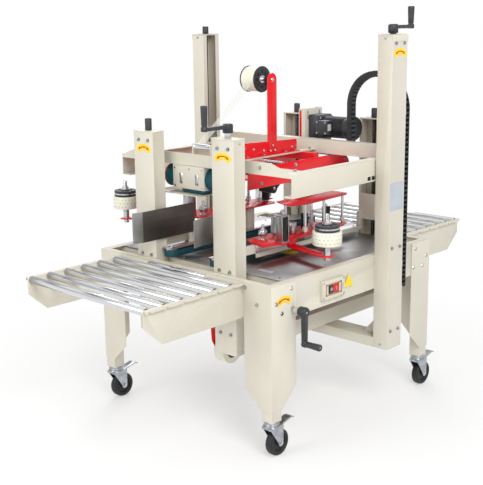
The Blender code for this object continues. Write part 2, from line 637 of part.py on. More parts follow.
def make_side_frame(side):
    """Two channel columns joined by a rail under the bed, with a nut for the width screw."""
    sign = SIDES[side]
    low, high = sorted((sign * COLUMN_Y[0], sign * COLUMN_Y[1]))
    solids = []
    cuts = []
    for back, direction in ((-columnBack, 1), (columnBack, -1)):
        mouth = back + direction * COLUMN_DEPTH
        solids.append(slab("z", (COLUMN_FOOT, COLUMN_TOP), channel(back, mouth, (low, high), lip=0.012)))
        solids.append(block((back - direction * 0.0015, mouth), (low - 0.0015, high + 0.0015),
                            (COLUMN_TOP - 0.001, COLUMN_TOP + 0.003)))
        screw_x = back + direction * COLUMN_DEPTH / 2
        cuts.append(rod((screw_x, sign * columnMiddle, COLUMN_TOP - 0.01),
                        (screw_x, sign * columnMiddle, COLUMN_TOP + 0.01), COLUMN_SCREW + CLEAR))
    outer = sign * COLUMN_Y[1]
    rail = channel(outer, outer - sign * 0.040, (COLUMN_FOOT, COLUMN_FOOT + RAIL_HEIGHT))
    solids.append(slab("x", (0.001 - columnBack, columnBack - 0.001), rail))
    nut_start = -columnMouth - 0.002
    solids.append(block((nut_start, widthScrewX + 0.014), (low + 0.02, high - 0.02),
                        (WIDTH_SCREW_Z - 0.014, WIDTH_SCREW_Z + 0.014)))
    solids.append(block((nut_start - 0.001, nut_start + 0.004), (low, high),
                        (WIDTH_SCREW_Z - 0.014, WIDTH_SCREW_Z + 0.014)))
    cuts.append(rod((widthScrewX, low - 0.01, WIDTH_SCREW_Z), (widthScrewX, high + 0.01, WIDTH_SCREW_Z),
                    WIDTH_SCREW + CLEAR))
    pivot = (-columnBack, sign * columnMiddle, COLUMN_FOOT)
    return piece(f"side_frame_{side}", IVORY, solids, cuts, pivot=pivot)


def make_side_drive(side, frame):
    """The lifted beam of one side: belt cover, pulleys, infeed guide and the blocks that ride in the columns."""
    sign = SIDES[side]

    def span(a, b):
        return tuple(sorted((sign * a, sign * b)))

    cover = BELT_FOOT + BELT_HEIGHT + 0.005
    pulley_y = BELT_FACE + BELT_THICKNESS + PULLEY_RADIUS
    inner, narrow, outer = BELT_FACE + BELT_THICKNESS + 0.002, COVER_NARROW, COVER_OUTER
    cover_end = pulleyX + COVER_REACH
    skirt_start, skirt_end = SKIRT_INSETS[0] - pulleyX, pulleyX - SKIRT_INSETS[1]
    top = [(-cover_end, inner), (cover_end, inner), (cover_end, narrow - 0.002), (skirt_end, narrow - 0.002),
           (skirt_end, outer), (skirt_start, outer), (skirt_start, narrow), (-cover_end, narrow)]
    solids = [slab("z", (cover, cover + SHEET), [(x, sign * y) for x, y in top])]
    solids.append(block((skirt_start, skirt_end), span(outer - SHEET, outer), (0.662, cover + SHEET)))
    for x in (-pulleyX, pulleyX):
        solids.append(rod((x, sign * pulley_y, BELT_FOOT + 0.003), (x, sign * pulley_y, cover + 0.001),
                          PULLEY_RADIUS - GAP, 24))
    # Arms to the columns, with a block round each column screw.
    screw_y = sign * columnMiddle
    slide_y = span(COLUMN_Y[0] + 0.008, COLUMN_Y[1] - 0.008)
    neck_y = span(COLUMN_Y[0] + 0.018, COLUMN_Y[1] - 0.018)
    cuts = []
    for back, direction in ((-columnBack, 1), (columnBack, -1)):
        mouth = back + direction * COLUMN_DEPTH
        solids.append(block((back + direction * 0.008, mouth - direction * 0.006), slide_y, ARM_Z))
        solids.append(block((mouth - direction * 0.008, mouth + direction * 0.014), neck_y, ARM_Z))
        screw_x = back + direction * COLUMN_DEPTH / 2
        cuts.append(rod((screw_x, screw_y, 0.60), (screw_x, screw_y, 0.90), COLUMN_SCREW + CLEAR))
    reach = columnMouth - 0.0085
    solids.append(block((-reach, skirt_start + 0.005), span(0.174, 0.186), (cover + 0.001, HEAD_LOW - 0.001)))
    solids.append(block((skirt_end - 0.018, reach), span(0.174, 0.186), (cover + 0.001, 0.740)))
    solids.append(block((reach - 0.0095, reach - 0.0045), span(0.168, 0.250), (0.706, 0.815)))
    # Guide that leads the carton in between the belts.
    line = [(x - columnBack, y) for x, y in GUIDES[side]]
    tail = line[-1]
    guide = line + [(x, y + SHEET) for x, y in reversed(line)]
    solids.append(slab("z", GUIDE_HEIGHT[side], [(x, sign * y) for x, y in guide]))
    solids.append(block((tail[0] - 0.026, tail[0] - 0.004), span(tail[1] + 0.001, 0.148),
                        (cover + 0.001, GUIDE_HEIGHT[side][0] + 0.020)))
    return piece(f"side_drive_{side}", IVORY, solids, cuts, parent=frame,
                 pivot=(-columnBack, sign * columnMiddle, BELT_FOOT))


def make_side_belt(side, drive):
    sign = SIDES[side]
    middle = sign * (BELT_FACE + BELT_THICKNESS + PULLEY_RADIUS)

    def loop(radius):
        return arc((-pulleyX, middle), radius, 90, 270, 12) + arc((pulleyX, middle), radius, -90, 90, 12)

    height = (BELT_FOOT, BELT_FOOT + BELT_HEIGHT)
    belt = slab("z", height, loop(PULLEY_RADIUS + BELT_THICKNESS), loop(PULLEY_RADIUS))
    piece(f"side_belt_{side}", TEAL, [belt], parent=drive, pivot=(-pulleyX, middle, BELT_FOOT))


def make_side_head(side, drive):
    """A tape head lying on its side: two plates on posts, with an arm out to its tape roll."""
    sign = SIDES[side]
    lift, reel_shift = (FAR_HEAD_LIFT, FAR_REEL_SHIFT) if side == "far" else (0.0, 0.0)

    def outline(points):
        return [(x, sign * y) for x, y in points]

    low, high = HEAD_LOW + lift, HEAD_HIGH + lift
    lower = slab("z", (low, low + HEAD_PLATE),
                 outline([(-0.268, 0.150), (-0.240, 0.110), (0.175, 0.110), (0.190, 0.125), (0.193, 0.184),
                          (0.250, 0.187), (0.252, 0.213), (0.196, 0.236), (-0.090, 0.241), (-0.200, 0.275),
                          (-0.300, 0.243)]))
    upper = slab("z", (high, high + HEAD_PLATE),
                 outline([(-0.070, 0.110), (0.250, 0.110), (0.262, 0.122), (0.262, 0.205), (0.235, 0.222),
                          (-0.030, 0.235), (-0.105, 0.203)]))
    solids = [lower, upper]
    for x, y in ((-0.050, 0.140), (-0.020, 0.215), (0.110, 0.140), (0.110, 0.205), (0.237, 0.200)):
        solids.append(rod((x, sign * y, low + 0.001), (x, sign * y, high + 0.001), 0.006, 8))
    for x, y, radius, height in ((-0.205, 0.160, 0.016, 0.060), (-0.105, 0.150, 0.021, 0.085),
                                 (0.030, 0.170, 0.014, 0.075), (0.175, 0.165, 0.017, 0.080)):
        solids.append(rod((x, sign * y, low + 0.001), (x, sign * y, low + height), radius, 14))
    bracket = (-0.215, -0.175)
    solids.append(block(bracket, sorted((sign * 0.232, sign * 0.236)), (low + 0.001, low + 0.108)))
    roller_x = sum(bracket) / 2
    solids.append(rod((roller_x, sign * 0.250, low + 0.001), (roller_x, sign * 0.250, low + 0.100), 0.0155, 14))
    solids.append(block(bracket, sorted((sign * 0.233, sign * 0.268)), (low + 0.104, low + 0.108)))
    reel_x, reel_y = REEL_POST
    reel_x += reel_shift
    arm_z = low - 0.025
    solids.append(slab("z", (arm_z, arm_z + HEAD_PLATE),
                       outline([(-0.155, 0.235), (-0.100, 0.235), (reel_x + 0.026, reel_y - 0.010),
                                (reel_x + 0.026, reel_y + 0.020), (reel_x - 0.022, reel_y + 0.020),
                                (reel_x - 0.022, reel_y - 0.010)])))
    solids.append(block((-0.150, -0.110), sorted((sign * 0.232, sign * 0.244)), (arm_z + 0.001, low + 0.002)))
    solids.append(rod((reel_x, sign * reel_y, arm_z - 0.014), (reel_x, sign * reel_y, low + 0.136), 0.0075, 16))
    solids.append(rod((reel_x, sign * reel_y, arm_z + 0.001), (reel_x, sign * reel_y, low + ROLL_SEAT - 0.0005),
                      0.0120, 16))
    cover = BELT_FOOT + BELT_HEIGHT + 0.005 + SHEET
    foot = (0.02, 0.06)
    solids.append(block(foot, sorted((sign * 0.125, sign * 0.180)), (cover + GAP, low + 0.001)))
    head = piece(f"side_head_{side}", RED, solids, parent=drive, pivot=(0, sign * 0.18, low))
    centre = (reel_x, sign * reel_y, low + ROLL_SEAT + TAPE_WIDTH / 2)
    make_roll(f"side_tape_roll_{side}", centre, (0, 0, 1), TAPE_WIDTH / 2, SIDE_TAPE_RADIUS[side], 0.0075, head,
              collar=0.024)


def make_side(side):
    frame = make_side_frame(side)
    drive = make_side_drive(side, frame)
    make_side_belt(side, drive)
    make_side_head(side, drive)
    sign = SIDES[side]
    top = (columnScrewX, sign * columnMiddle, COLUMN_TOP + 0.003)
    foot = (columnScrewX, sign * columnMiddle, 0.600)
    if side == "near":
        make_crank("column_crank_near", top, (0, 0, 1), (-1, 0, 0), foot, COLUMN_SCREW, parent=frame,
                    grip_length=0.075, neck=0.014)
        return
    screw = rod(foot, (top[0], top[1], top[2] + 0.020), COLUMN_SCREW, 16)
    sleeve = rod((top[0], top[1], top[2] + 0.004), (top[0], top[1], top[2] + 0.045), 0.0125, 20)
    piece("column_screw_far", BLACK, [screw, sleeve], pivot=top, parent=frame)


def make_width_crank():
    make_crank("width_crank", (widthScrewX, -halfWidth - 0.012, WIDTH_SCREW_Z), (0, -1, 0), (0, 0, -1),
               (widthScrewX, 0.430, WIDTH_SCREW_Z), WIDTH_SCREW, grip_length=0.065, neck=0.018)


def make_motors(carriage):
    x, z = MOTOR_AXIS
    foot = beamTop + 0.004 + GAP
    gear_box = block((x - 0.046, x + 0.046), (-0.030, 0.022 - GAP), (foot, z + 0.050))
    body = rod((x, -0.160, z), (x, -0.029, z), MOTOR_RADIUS, 32)
    fan = rod((x, -0.190, z), (x, -0.156, z), MOTOR_RADIUS + 0.004, 32)
    junction = block((x - 0.078, x - 0.030), (-0.100, -0.042), (z - 0.026, z + 0.032))
    piece("outfeed_gear_motor", BLACK, [gear_box, body, fan, junction], parent=carriage, pivot=(x, 0, z))
    axis_x, axis_z = -0.328, 0.948
    housing = block((-0.374, -0.298), (-0.020, 0.150), (0.908, 0.997))
    foot_block = block((-0.352, -0.302), (0.010, 0.120), (0.888 + GAP, 0.909))
    drum = rod((axis_x, -0.048, axis_z), (axis_x, 0.200, axis_z), 0.0445, 32)
    piece("infeed_gear_motor", TEAL, [housing, foot_block, drum], parent=carriage, pivot=(axis_x, 0.1, axis_z))


def make_switch():
    face = -panelY - GAP
    plate = block((-0.226, -0.096), (face, face - 0.014), (0.534, 0.604))
    pocket = block((-0.194, -0.130), (face - 0.006, face - 0.03), (0.552, 0.586))
    pin = rod((-0.162, face - 0.0105, 0.548), (-0.162, face - 0.0105, 0.590), 0.0015, 12)
    plate_piece = piece("switch_box", IVORY, [plate], [pocket, pin])
    rocker = slab("z", (0.5535, 0.5845),
                  [(-0.1885, face - 0.0150), (-0.1620, face - 0.0120), (-0.1355, face - 0.0185),
                   (-0.1355, face - 0.0140), (-0.1620, face - 0.0085), (-0.1885, face - 0.0105)])
    piece("power_rocker", RED, [rocker], pivot=(-0.162, face - 0.0105, 0.569), parent=plate_piece)


def make_cable_chain():
    """A guide chain from the carriage, over an arch, and down the outside of the near mast."""
    moving = Vector((0.262, -0.222))
    fixed = Vector((MAST_X[1] + 0.006 + CHAIN_RADIUS, -mastOuter + 0.018))
    start, shoulder, end = beamTop + 0.034, 1.195, 0.500
    rise = 0.127
    middle, half = (moving + fixed) / 2, (moving - fixed) / 2
    points = [(*moving, start), (*moving, (start + shoulder) / 2)]
    steps = 20
    for step in range(steps + 1):
        angle = math.pi * step / steps
        flat = middle + half * math.cos(angle)
        points.append((*flat, shoulder + rise * math.sin(angle)))
    points += [(*fixed, 0.85), (*fixed, end)]
    curve = bpy.data.curves.new("chain_path", "CURVE")
    curve.dimensions = "3D"
    curve.bevel_depth = CHAIN_RADIUS
    curve.bevel_resolution = 2
    curve.use_fill_caps = True
    spline = curve.splines.new("POLY")
    spline.points.add(len(points) - 1)
    for point, place in zip(spline.points, points):
        point.co = (*place, 1)
    path = bpy.data.objects.new("chain_path", curve)
    WORK.objects.link(path)
    bpy.context.view_layer.update()
    mesh = bpy.data.meshes.new_from_object(path.evaluated_get(bpy.context.evaluated_depsgraph_get()))
    bpy.data.objects.remove(path)
    work = bmesh.new()
    work.from_mesh(mesh)
    piece("cable_chain", BLACK, [solid_from(work)], pivot=(*fixed, end))


def main():
    make_bed()
    for end in ENDS:
        for side in SIDES:
            make_caster(end, side, *make_leg(end, side))
        make_table(end)
    make_rollers()
    for side in SIDES:
        make_mast(side)
    make_mast_base()
    make_mast_screws()
    carriage = make_carriage()
    make_top_head(carriage)
    make_top_reel(carriage)
    make_motors(carriage)
    make_bottom_head()
    for side in SIDES:
        make_side(side)
    make_width_crank()
    make_switch()
    make_cable_chain()
    bpy.data.collections.remove(WORK)


main()
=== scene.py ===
import json
import math

import bmesh
import bpy
from mathutils import Matrix, Quaternion, Vector


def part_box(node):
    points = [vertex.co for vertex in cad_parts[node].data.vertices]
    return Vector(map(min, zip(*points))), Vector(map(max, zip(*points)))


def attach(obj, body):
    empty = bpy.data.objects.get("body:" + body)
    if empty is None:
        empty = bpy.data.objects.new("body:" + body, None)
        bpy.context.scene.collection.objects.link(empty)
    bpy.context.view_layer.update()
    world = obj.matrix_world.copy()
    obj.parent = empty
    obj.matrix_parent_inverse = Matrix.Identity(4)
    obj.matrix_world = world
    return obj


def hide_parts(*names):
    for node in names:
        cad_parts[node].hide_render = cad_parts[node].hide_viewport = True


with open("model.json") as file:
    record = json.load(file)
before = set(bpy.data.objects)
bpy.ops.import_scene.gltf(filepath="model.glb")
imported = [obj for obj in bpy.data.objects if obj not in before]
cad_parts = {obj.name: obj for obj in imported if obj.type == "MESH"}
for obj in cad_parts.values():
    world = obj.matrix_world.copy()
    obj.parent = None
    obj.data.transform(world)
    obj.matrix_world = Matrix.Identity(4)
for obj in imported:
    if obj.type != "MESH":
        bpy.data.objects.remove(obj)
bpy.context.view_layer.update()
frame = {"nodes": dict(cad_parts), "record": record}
bodyOf = {node: body for body, nodes in frame["record"]["behaviour"]["bodies"].items() for node in nodes}
nearMast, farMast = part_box("mast_near"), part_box("mast_far")
midY = (nearMast[0].y + farMast[1].y) / 2  # the line the cartons run along
print("frame loaded:", len(frame["nodes"]), "nodes, middle line at y =", round(midY, 4))


# ---- camera, floor and light
cameraPlan = {
    "azimuth": -46.72, "elevation": 12.976, "roll": -0.786,
    "distance": 3.8553, "target": (-0.1542, 0.0, 0.6707), "lens": 72.16,
}
studioPlan = {
    "floor": "#F7F7F6", "backdrop": "#FFFFFF", "world": 0.62,
    # what shiny metal reflects, by height: bright panels with the dark room between them
    "bands": ((0.0, "#F4F4F4"), (0.2, "#F4F4F4"), (0.3, "#4C4E52"), (0.4, "#FFFFFF"), (0.6, "#FFFFFF"),
              (0.7, "#3E4044"), (0.8, "#FFFFFF")),
    "lamps": {
        "keyPanel": {"at": (-1.9, -3.2, 3.4), "size": 2.4, "power": 118},
        "sidePanel": {"at": (-3.9, 0.6, 2.2), "size": 2.2, "power": 44},
        "farPanel": {"at": (2.6, 2.8, 3.2), "size": 2.6, "power": 60},
    },
}


def srgb(code):
    parts = [int(code[i:i + 2], 16) / 255 for i in (1, 3, 5)]
    return tuple(p / 12.92 if p <= 0.04045 else ((p + 0.055) / 1.055) ** 2.4 for p in parts) + (1.0,)


def addNode(tree, kind, inputs=None, **settings):
    node = tree.nodes.new(kind)
    for name, value in settings.items():
        setattr(node, name, value)
    for name, value in (inputs or {}).items():
        if isinstance(value, bpy.types.NodeSocket):
            tree.links.new(value, node.inputs[name])
        else:
            node.inputs[name].default_value = value
    return node


def makeCamera(plan):
    a, e = math.radians(plan["azimuth"]), math.radians(plan["elevation"])
    back = Vector((math.sin(a) * math.cos(e), -math.cos(a) * math.cos(e), math.sin(e)))
    data = bpy.data.cameras.new("viewCamera")
    data.lens, data.sensor_width, data.clip_end = plan["lens"], 36, 60
    camera = bpy.data.objects.new("viewCamera", data)
    bpy.context.scene.collection.objects.link(camera)
    camera.location = Vector(plan["target"]) + Vector((0, midY, 0)) + back * plan["distance"]
    camera.rotation_mode = "QUATERNION"
    camera.rotation_quaternion = (-back).to_track_quat("-Z", "Y") @ Quaternion((0, 0, 1),
            math.radians(plan["roll"]))
    bpy.context.scene.camera = camera


def makeStudio(plan):
    floorPaint = bpy.data.materials.new("studioFloor")
    floorPaint.use_nodes = True
    tree = floorPaint.node_tree
    tree.nodes.clear()
    path = addNode(tree, "ShaderNodeLightPath")
    seen = addNode(tree, "ShaderNodeMath", {0: path.outputs["Is Glossy Ray"],
            1: path.outputs["Is Transmission Ray"]}, operation="MAXIMUM")
    matte = addNode(tree, "ShaderNodeBsdfDiffuse", {"Color": srgb(plan["floor"])})
    # the floor fades to the white of the backdrop away from the machine, and keeps the shadow under it
    place = addNode(tree, "ShaderNodeTexCoord")
    spread = addNode(tree, "ShaderNodeVectorMath", {0: place.outputs["Object"]}, operation="LENGTH")
    fade = addNode(tree, "ShaderNodeMapRange", {"Value": spread.outputs["Value"], "From Min": 0.7,
            "From Max": 2.0, "To Min": 0.4}, interpolation_type="SMOOTHSTEP")
    either = addNode(tree, "ShaderNodeMath", {0: fade.outputs["Result"], 1: seen.outputs[0]},
                     operation="MAXIMUM")
    white = addNode(tree, "ShaderNodeEmission", {"Color": srgb(plan["backdrop"]), "Strength": 1.0})
    toFade = addNode(tree, "ShaderNodeMixShader", {0: either.outputs[0], 1: matte.outputs[0],
            2: white.outputs[0]})
    addNode(tree, "ShaderNodeOutputMaterial", {"Surface": toFade.outputs[0]})
    mesh = bpy.data.meshes.new("studioFloor")
    half = 30
    mesh.from_pydata([(-half, -half, 0), (half, -half, 0), (half, half, 0), (-half, half, 0)], [],
                     [(0, 1, 2, 3)])
    mesh.materials.append(floorPaint)
    floor = bpy.data.objects.new("studioFloor", mesh)
    bpy.context.scene.collection.objects.link(floor)
    world = bpy.data.worlds.new("studioAir")
    world.use_nodes = True
    tree = world.node_tree
    tree.nodes.clear()
    path = addNode(tree, "ShaderNodeLightPath")
    through = addNode(tree, "ShaderNodeMath", {0: path.outputs["Is Glossy Ray"],
            1: path.outputs["Is Transmission Ray"]}, operation="MAXIMUM")
    seen = addNode(tree, "ShaderNodeMath", {0: path.outputs["Is Camera Ray"], 1: through.outputs[0]},
                   operation="MAXIMUM")
    soft = addNode(tree, "ShaderNodeBackground", {"Color": srgb(plan["backdrop"]), "Strength": plan["world"]})
    clear = addNode(tree, "ShaderNodeBackground", {"Color": srgb(plan["backdrop"]), "Strength": 1.0})
    mixed = addNode(tree, "ShaderNodeMixShader", {0: seen.outputs[0], 1: soft.outputs[0],
            2: clear.outputs[0]})
    where = addNode(tree, "ShaderNodeTexCoord")
    height = addNode(tree, "ShaderNodeSeparateXYZ", {"Vector": where.outputs["Generated"]})
    ramp = addNode(tree, "ShaderNodeValToRGB", {"Fac": height.outputs["Z"]})
    ends = ramp.color_ramp.elements
    for place, colour in plan["bands"][1:-1]:
        ends.new(place)
    for end, (place, colour) in zip(ends, plan["bands"]):
        end.position = place
        end.color = srgb(colour)
    banded = addNode(tree, "ShaderNodeBackground", {"Color": ramp.outputs["Color"], "Strength": 1.0})
    room = addNode(tree, "ShaderNodeMixShader", {0: path.outputs["Is Glossy Ray"], 1: mixed.outputs[0],
            2: banded.outputs[0]})
    addNode(tree, "ShaderNodeOutputWorld", {"Surface": room.outputs[0]})
    bpy.context.scene.world = world
    for name, lamp in plan["lamps"].items():
        data = bpy.data.lights.new(name, "AREA")
        data.shape, data.size, data.energy = "DISK", lamp["size"], lamp["power"]
        light = bpy.data.objects.new(name, data)
        light.location = lamp["at"]
        light.rotation_mode = "QUATERNION"
        light.rotation_quaternion = (Vector((0, 0, 0.7)) - Vector(lamp["at"])).to_track_quat("-Z", "Y")
        bpy.context.scene.collection.objects.link(light)
    bpy.context.scene.view_settings.view_transform = "Standard"


makeCamera(cameraPlan)
makeStudio(studioPlan)
print("camera and studio made")


# ---- finishes
def noise(tree, place, scale, detail, roughness=0.5):
    inputs = {"Vector": place, "Scale": scale, "Detail": detail, "Roughness": roughness}
    return addNode(tree, "ShaderNodeTexNoise", inputs).outputs["Fac"]


def finish(name, colour, roughness, metallic=0.0, ior=1.5, coat=0.0, coatRoughness=0.1):
    made = bpy.data.materials.new(name)
    made.use_nodes = True
    tree = made.node_tree
    shader = tree.nodes["Principled BSDF"]
    shader.inputs["Base Color"].default_value = srgb(colour)
    shader.inputs["Roughness"].default_value = roughness
    shader.inputs["Metallic"].default_value = metallic
    shader.inputs["IOR"].default_value = ior
    shader.inputs["Coat Weight"].default_value = coat
    shader.inputs["Coat Roughness"].default_value = coatRoughness
    place = addNode(tree, "ShaderNodeTexCoord").outputs["Object"]
    return made, tree, shader, place


def blendColours(tree, factor, first, second, low=0.0, high=1.0):
    ramp = addNode(tree, "ShaderNodeValToRGB", {"Fac": factor})
    ramp.color_ramp.elements[0].position, ramp.color_ramp.elements[1].position = low, high
    ramp.color_ramp.elements[0].color, ramp.color_ramp.elements[1].color = srgb(first), srgb(second)
    return ramp.outputs["Color"]


def roughen(tree, shader, factor, low, high):
    spread = addNode(tree, "ShaderNodeMapRange", {"Value": factor, "To Min": low, "To Max": high})
    tree.links.new(spread.outputs["Result"], shader.inputs["Roughness"])


def emboss(tree, shader, height, strength, distance):
    bump = addNode(tree, "ShaderNodeBump", {"Height": height, "Strength": strength, "Distance": distance})
    tree.links.new(bump.outputs["Normal"], shader.inputs["Normal"])


# Polyester powder coat, sprayed and baked: a fine orange peel about 2.5 mm across and a satin gloss.
def powderCoat(name, colour, shade, roughness=0.42):
    made, tree, shader, place = finish(name, colour, roughness)
    peel = noise(tree, place, 420.0, 2.0)
    cloud = noise(tree, place, 5.0, 5.0, 0.6)
    tree.links.new(blendColours(tree, cloud, shade, colour, 0.25, 0.6), shader.inputs["Base Color"])
    roughen(tree, shader, cloud, roughness + 0.06, roughness - 0.06)
    emboss(tree, shader, peel, 0.12, 0.0004)
    return made


# Brushed sheet: scratches about 1 mm apart, drawn out to about 250 mm along the least of the three scales.
def brushedSheet(name, colour, shade, roughness, stretch=(4.0, 900.0, 900.0)):
    made, tree, shader, place = finish(name, colour, roughness, metallic=1.0)
    drawn = addNode(tree, "ShaderNodeMapping", {"Vector": place, "Scale": stretch})
    grain = noise(tree, drawn.outputs["Vector"], 1.0, 3.0)
    cloud = noise(tree, place, 7.0, 4.0)
    mixed = addNode(tree, "ShaderNodeMath", {0: grain, 1: cloud}, operation="MULTIPLY")
    tree.links.new(blendColours(tree, mixed.outputs[0], shade, colour, 0.12, 0.42),
                   shader.inputs["Base Color"])
    roughen(tree, shader, mixed.outputs[0], roughness + 0.14, roughness - 0.1)
    emboss(tree, shader, grain, 0.1, 0.0002)
    return made


# Plated or polished metal: nearly a mirror, with faint cloudiness from handling.
def plated(name, colour, shade, roughness, scale=30.0):
    made, tree, shader, place = finish(name, colour, roughness, metallic=1.0)
    cloud = noise(tree, place, scale, 4.0)
    tree.links.new(blendColours(tree, cloud, shade, colour, 0.3, 0.62), shader.inputs["Base Color"])
    roughen(tree, shader, cloud, roughness + 0.03, max(0.03, roughness - 0.02))
    return made


# Moulded plastic or rubber with a fine grain, about 1 mm across unless another is given.
def moulded(name, colour, shade, roughness, grain=900.0, depth=0.15):
    made, tree, shader, place = finish(name, colour, roughness, ior=1.48)
    fine = noise(tree, place, grain, 2.0)
    cloud = noise(tree, place, 18.0, 4.0)
    tree.links.new(blendColours(tree, cloud, shade, colour, 0.3, 0.65), shader.inputs["Base Color"])
    roughen(tree, shader, cloud, roughness + 0.08, roughness - 0.06)
    emboss(tree, shader, fine, depth, 0.0003)
    return made


ivoryCoat = powderCoat("ivoryPowderCoat", "#D6D1C2", "#D0CABA")
redCoat = powderCoat("redPowderCoat", "#E50A1A", "#D60817", 0.3)
bedSheet = brushedSheet("brushedStainlessSheet", "#C9C9CA", "#9A9A9C", 0.3)
rollerChrome = plated("chromedTube", "#DEDFE1", "#D6D7DA", 0.17, 9.0)
satinAluminium = plated("satinAluminium", "#C4C6C8", "#B6B8BB", 0.34, 25.0)
brightSteel = plated("turnedSteel", "#CFCFD2", "#A9AAAE", 0.2, 60.0)
zincPlate = plated("brightZincPlate", "#B4B8BD", "#94999F", 0.28, 45.0)
# the guide sheet again, darker: painted shade for the far guide, which lies in shade
shadedGuideSheet = brushedSheet("guideSheetPaintedShade", "#77756F", "#55534E", 0.38)
blackNylon = moulded("blackGlassNylon", "#33363A", "#26282B", 0.42)
blackRubber = moulded("blackTyreRubber", "#1F2022", "#161718", 0.6, 600.0, 0.3)
tealBelt = moulded("tealBeltRubber", "#0E4C55", "#0A3A42", 0.62, 700.0, 0.4)
tealEnamel = powderCoat("tealMotorEnamel", "#0F5A66", "#0B4752", 0.38)
blackEnamel = powderCoat("blackMotorEnamel", "#34363A", "#26272B", 0.4)
creamTape = moulded("creamTapeFilm", "#E9E7D6", "#DEDBC6", 0.3, 300.0, 0.05)
blackScrew = plated("blackenedSteelScrew", "#5A5A5C", "#38383A", 0.34, 90.0)
guideSheet = brushedSheet("brushedGuideSheet", "#B4B5B4", "#8F908F", 0.34, (900.0, 900.0, 4.0))
whiteSheet = brushedSheet("polishedCoverSheet", "#D9D8DA", "#BDBCC0", 0.25)
whiteNylon = moulded("whiteNylon", "#D9D8D2", "#CFCDC6", 0.45)
cardboard = moulded("windingCore", "#B98F5E", "#A57D4E", 0.8, 500.0, 0.3)
tapeMark = moulded("tapePrintPips", "#8E9A8C", "#849081", 0.35, 300.0, 0.05)
# near-black flat pads for slots and holes: painted shade standing in for the dark inside of an opening
holeShadePaint = moulded("paintedHoleShade", "#0E0F10", "#0B0B0C", 0.7)
stickerYellow = moulded("yellowVinyl", "#F7D50E", "#F3CD0A", 0.35, 300.0, 0.05)
stickerRed = moulded("redVinyl", "#D3202B", "#C61B26", 0.35, 300.0, 0.05)
labelGrey = moulded("bareLabelFoil", "#B9C0C8", "#AEB5BE", 0.32, 300.0, 0.05)
switchRed = moulded("redSwitchKey", "#D0282B", "#C22023", 0.3, 500.0, 0.08)
chainNylon = moulded("blackChainNylon", "#2B2D30", "#222426", 0.5)


# Clear polypropylene film with a little haze: most of what is behind shows through.
def makeFilmFinish():
    made, tree, shader, place = finish("clearTapeFilm", "#ECEBE2", 0.22)
    shader.inputs["Alpha"].default_value = 0.26
    fine = noise(tree, place, 60.0, 3.0)
    emboss(tree, shader, fine, 0.2, 0.0006)
    return made


clearFilm = makeFilmFinish()
print("finishes made")


def keep(mesh, name, material, body, *replaced, smooth=40):
    mesh.name = name
    if material is not None:
        mesh.materials.clear()
        mesh.materials.append(material)
    mesh.shade_smooth()
    if smooth:
        mesh.set_sharp_from_angle(angle=math.radians(smooth))
    made = bpy.data.objects.new(name, mesh)
    bpy.context.scene.collection.objects.link(made)
    if replaced:
        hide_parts(*replaced)
    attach(made, body)
    return made


def evaluated(obj):
    bpy.context.view_layer.update()
    mesh = bpy.data.meshes.new_from_object(obj.evaluated_get(bpy.context.evaluated_depsgraph_get()))
    bpy.data.objects.remove(obj, do_unlink=True)
    return mesh


def meshFrom(work, name="form"):
    mesh = bpy.data.meshes.new(name)
    bmesh.ops.recalc_face_normals(work, faces=work.faces)
    work.to_mesh(mesh)
    work.free()
    return mesh


# One mesh from several closed ones, so that a piece can be drawn as separate forms.
def merged(*meshes):
    work = bmesh.new()
    for mesh in meshes:
        work.from_mesh(mesh)
        bpy.data.meshes.remove(mesh)
    mesh = bpy.data.meshes.new("merged")
    work.to_mesh(mesh)
    work.free()
    return mesh


def bevelled(mesh, radius, segments=2, angle=34):
    base = bpy.data.objects.new("base", mesh)
    bpy.context.scene.collection.objects.link(base)
    mesh.shade_smooth()
    bevel = base.modifiers.new("edges", "BEVEL")
    bevel.width, bevel.segments, bevel.limit_method = radius, segments, "ANGLE"
    bevel.angle_limit = math.radians(angle)
    bevel.use_clamp_overlap = True
    bevel.harden_normals = True
    made = evaluated(base)
    bpy.data.meshes.remove(mesh)
    return made


# A copy of a CAD node with its flat faces made whole and its edges rounded as bent or moulded edges are.
def softForm(node, radius=0.0008, segments=2):
    work = bmesh.new()
    work.from_mesh(frame["nodes"][node].data)
    bmesh.ops.remove_doubles(work, verts=work.verts, dist=1e-5)
    bmesh.ops.dissolve_limit(work, angle_limit=math.radians(1.0), verts=work.verts, edges=work.edges,
                             delimit=set())
    mesh = bpy.data.meshes.new(node + "Form")
    work.to_mesh(mesh)
    work.free()
    return bevelled(mesh, radius, segments) if radius else mesh


def softened(node, material, radius=0.0008, segments=2, name=None, smooth=40):
    return keep(softForm(node, radius, segments), name or node + "_shell", material, bodyOf[node], node,
                smooth=smooth)


# Gives a second finish to the faces whose middles lie in any of the boxes.
def paintWhere(piece, material, *boxes):
    piece.data.materials.append(material)
    index = len(piece.data.materials) - 1
    for face in piece.data.polygons:
        for low, high in boxes:
            if all(low[i] <= face.center[i] <= high[i] for i in range(3)):
                face.material_index = index
                break


# The matrix that turns +Z to the given direction and moves the origin to a point.
def placed(at, toward):
    turn = Vector(toward).to_track_quat("Z", "Y").to_matrix().to_4x4()
    return Matrix.Translation(Vector(at)) @ turn


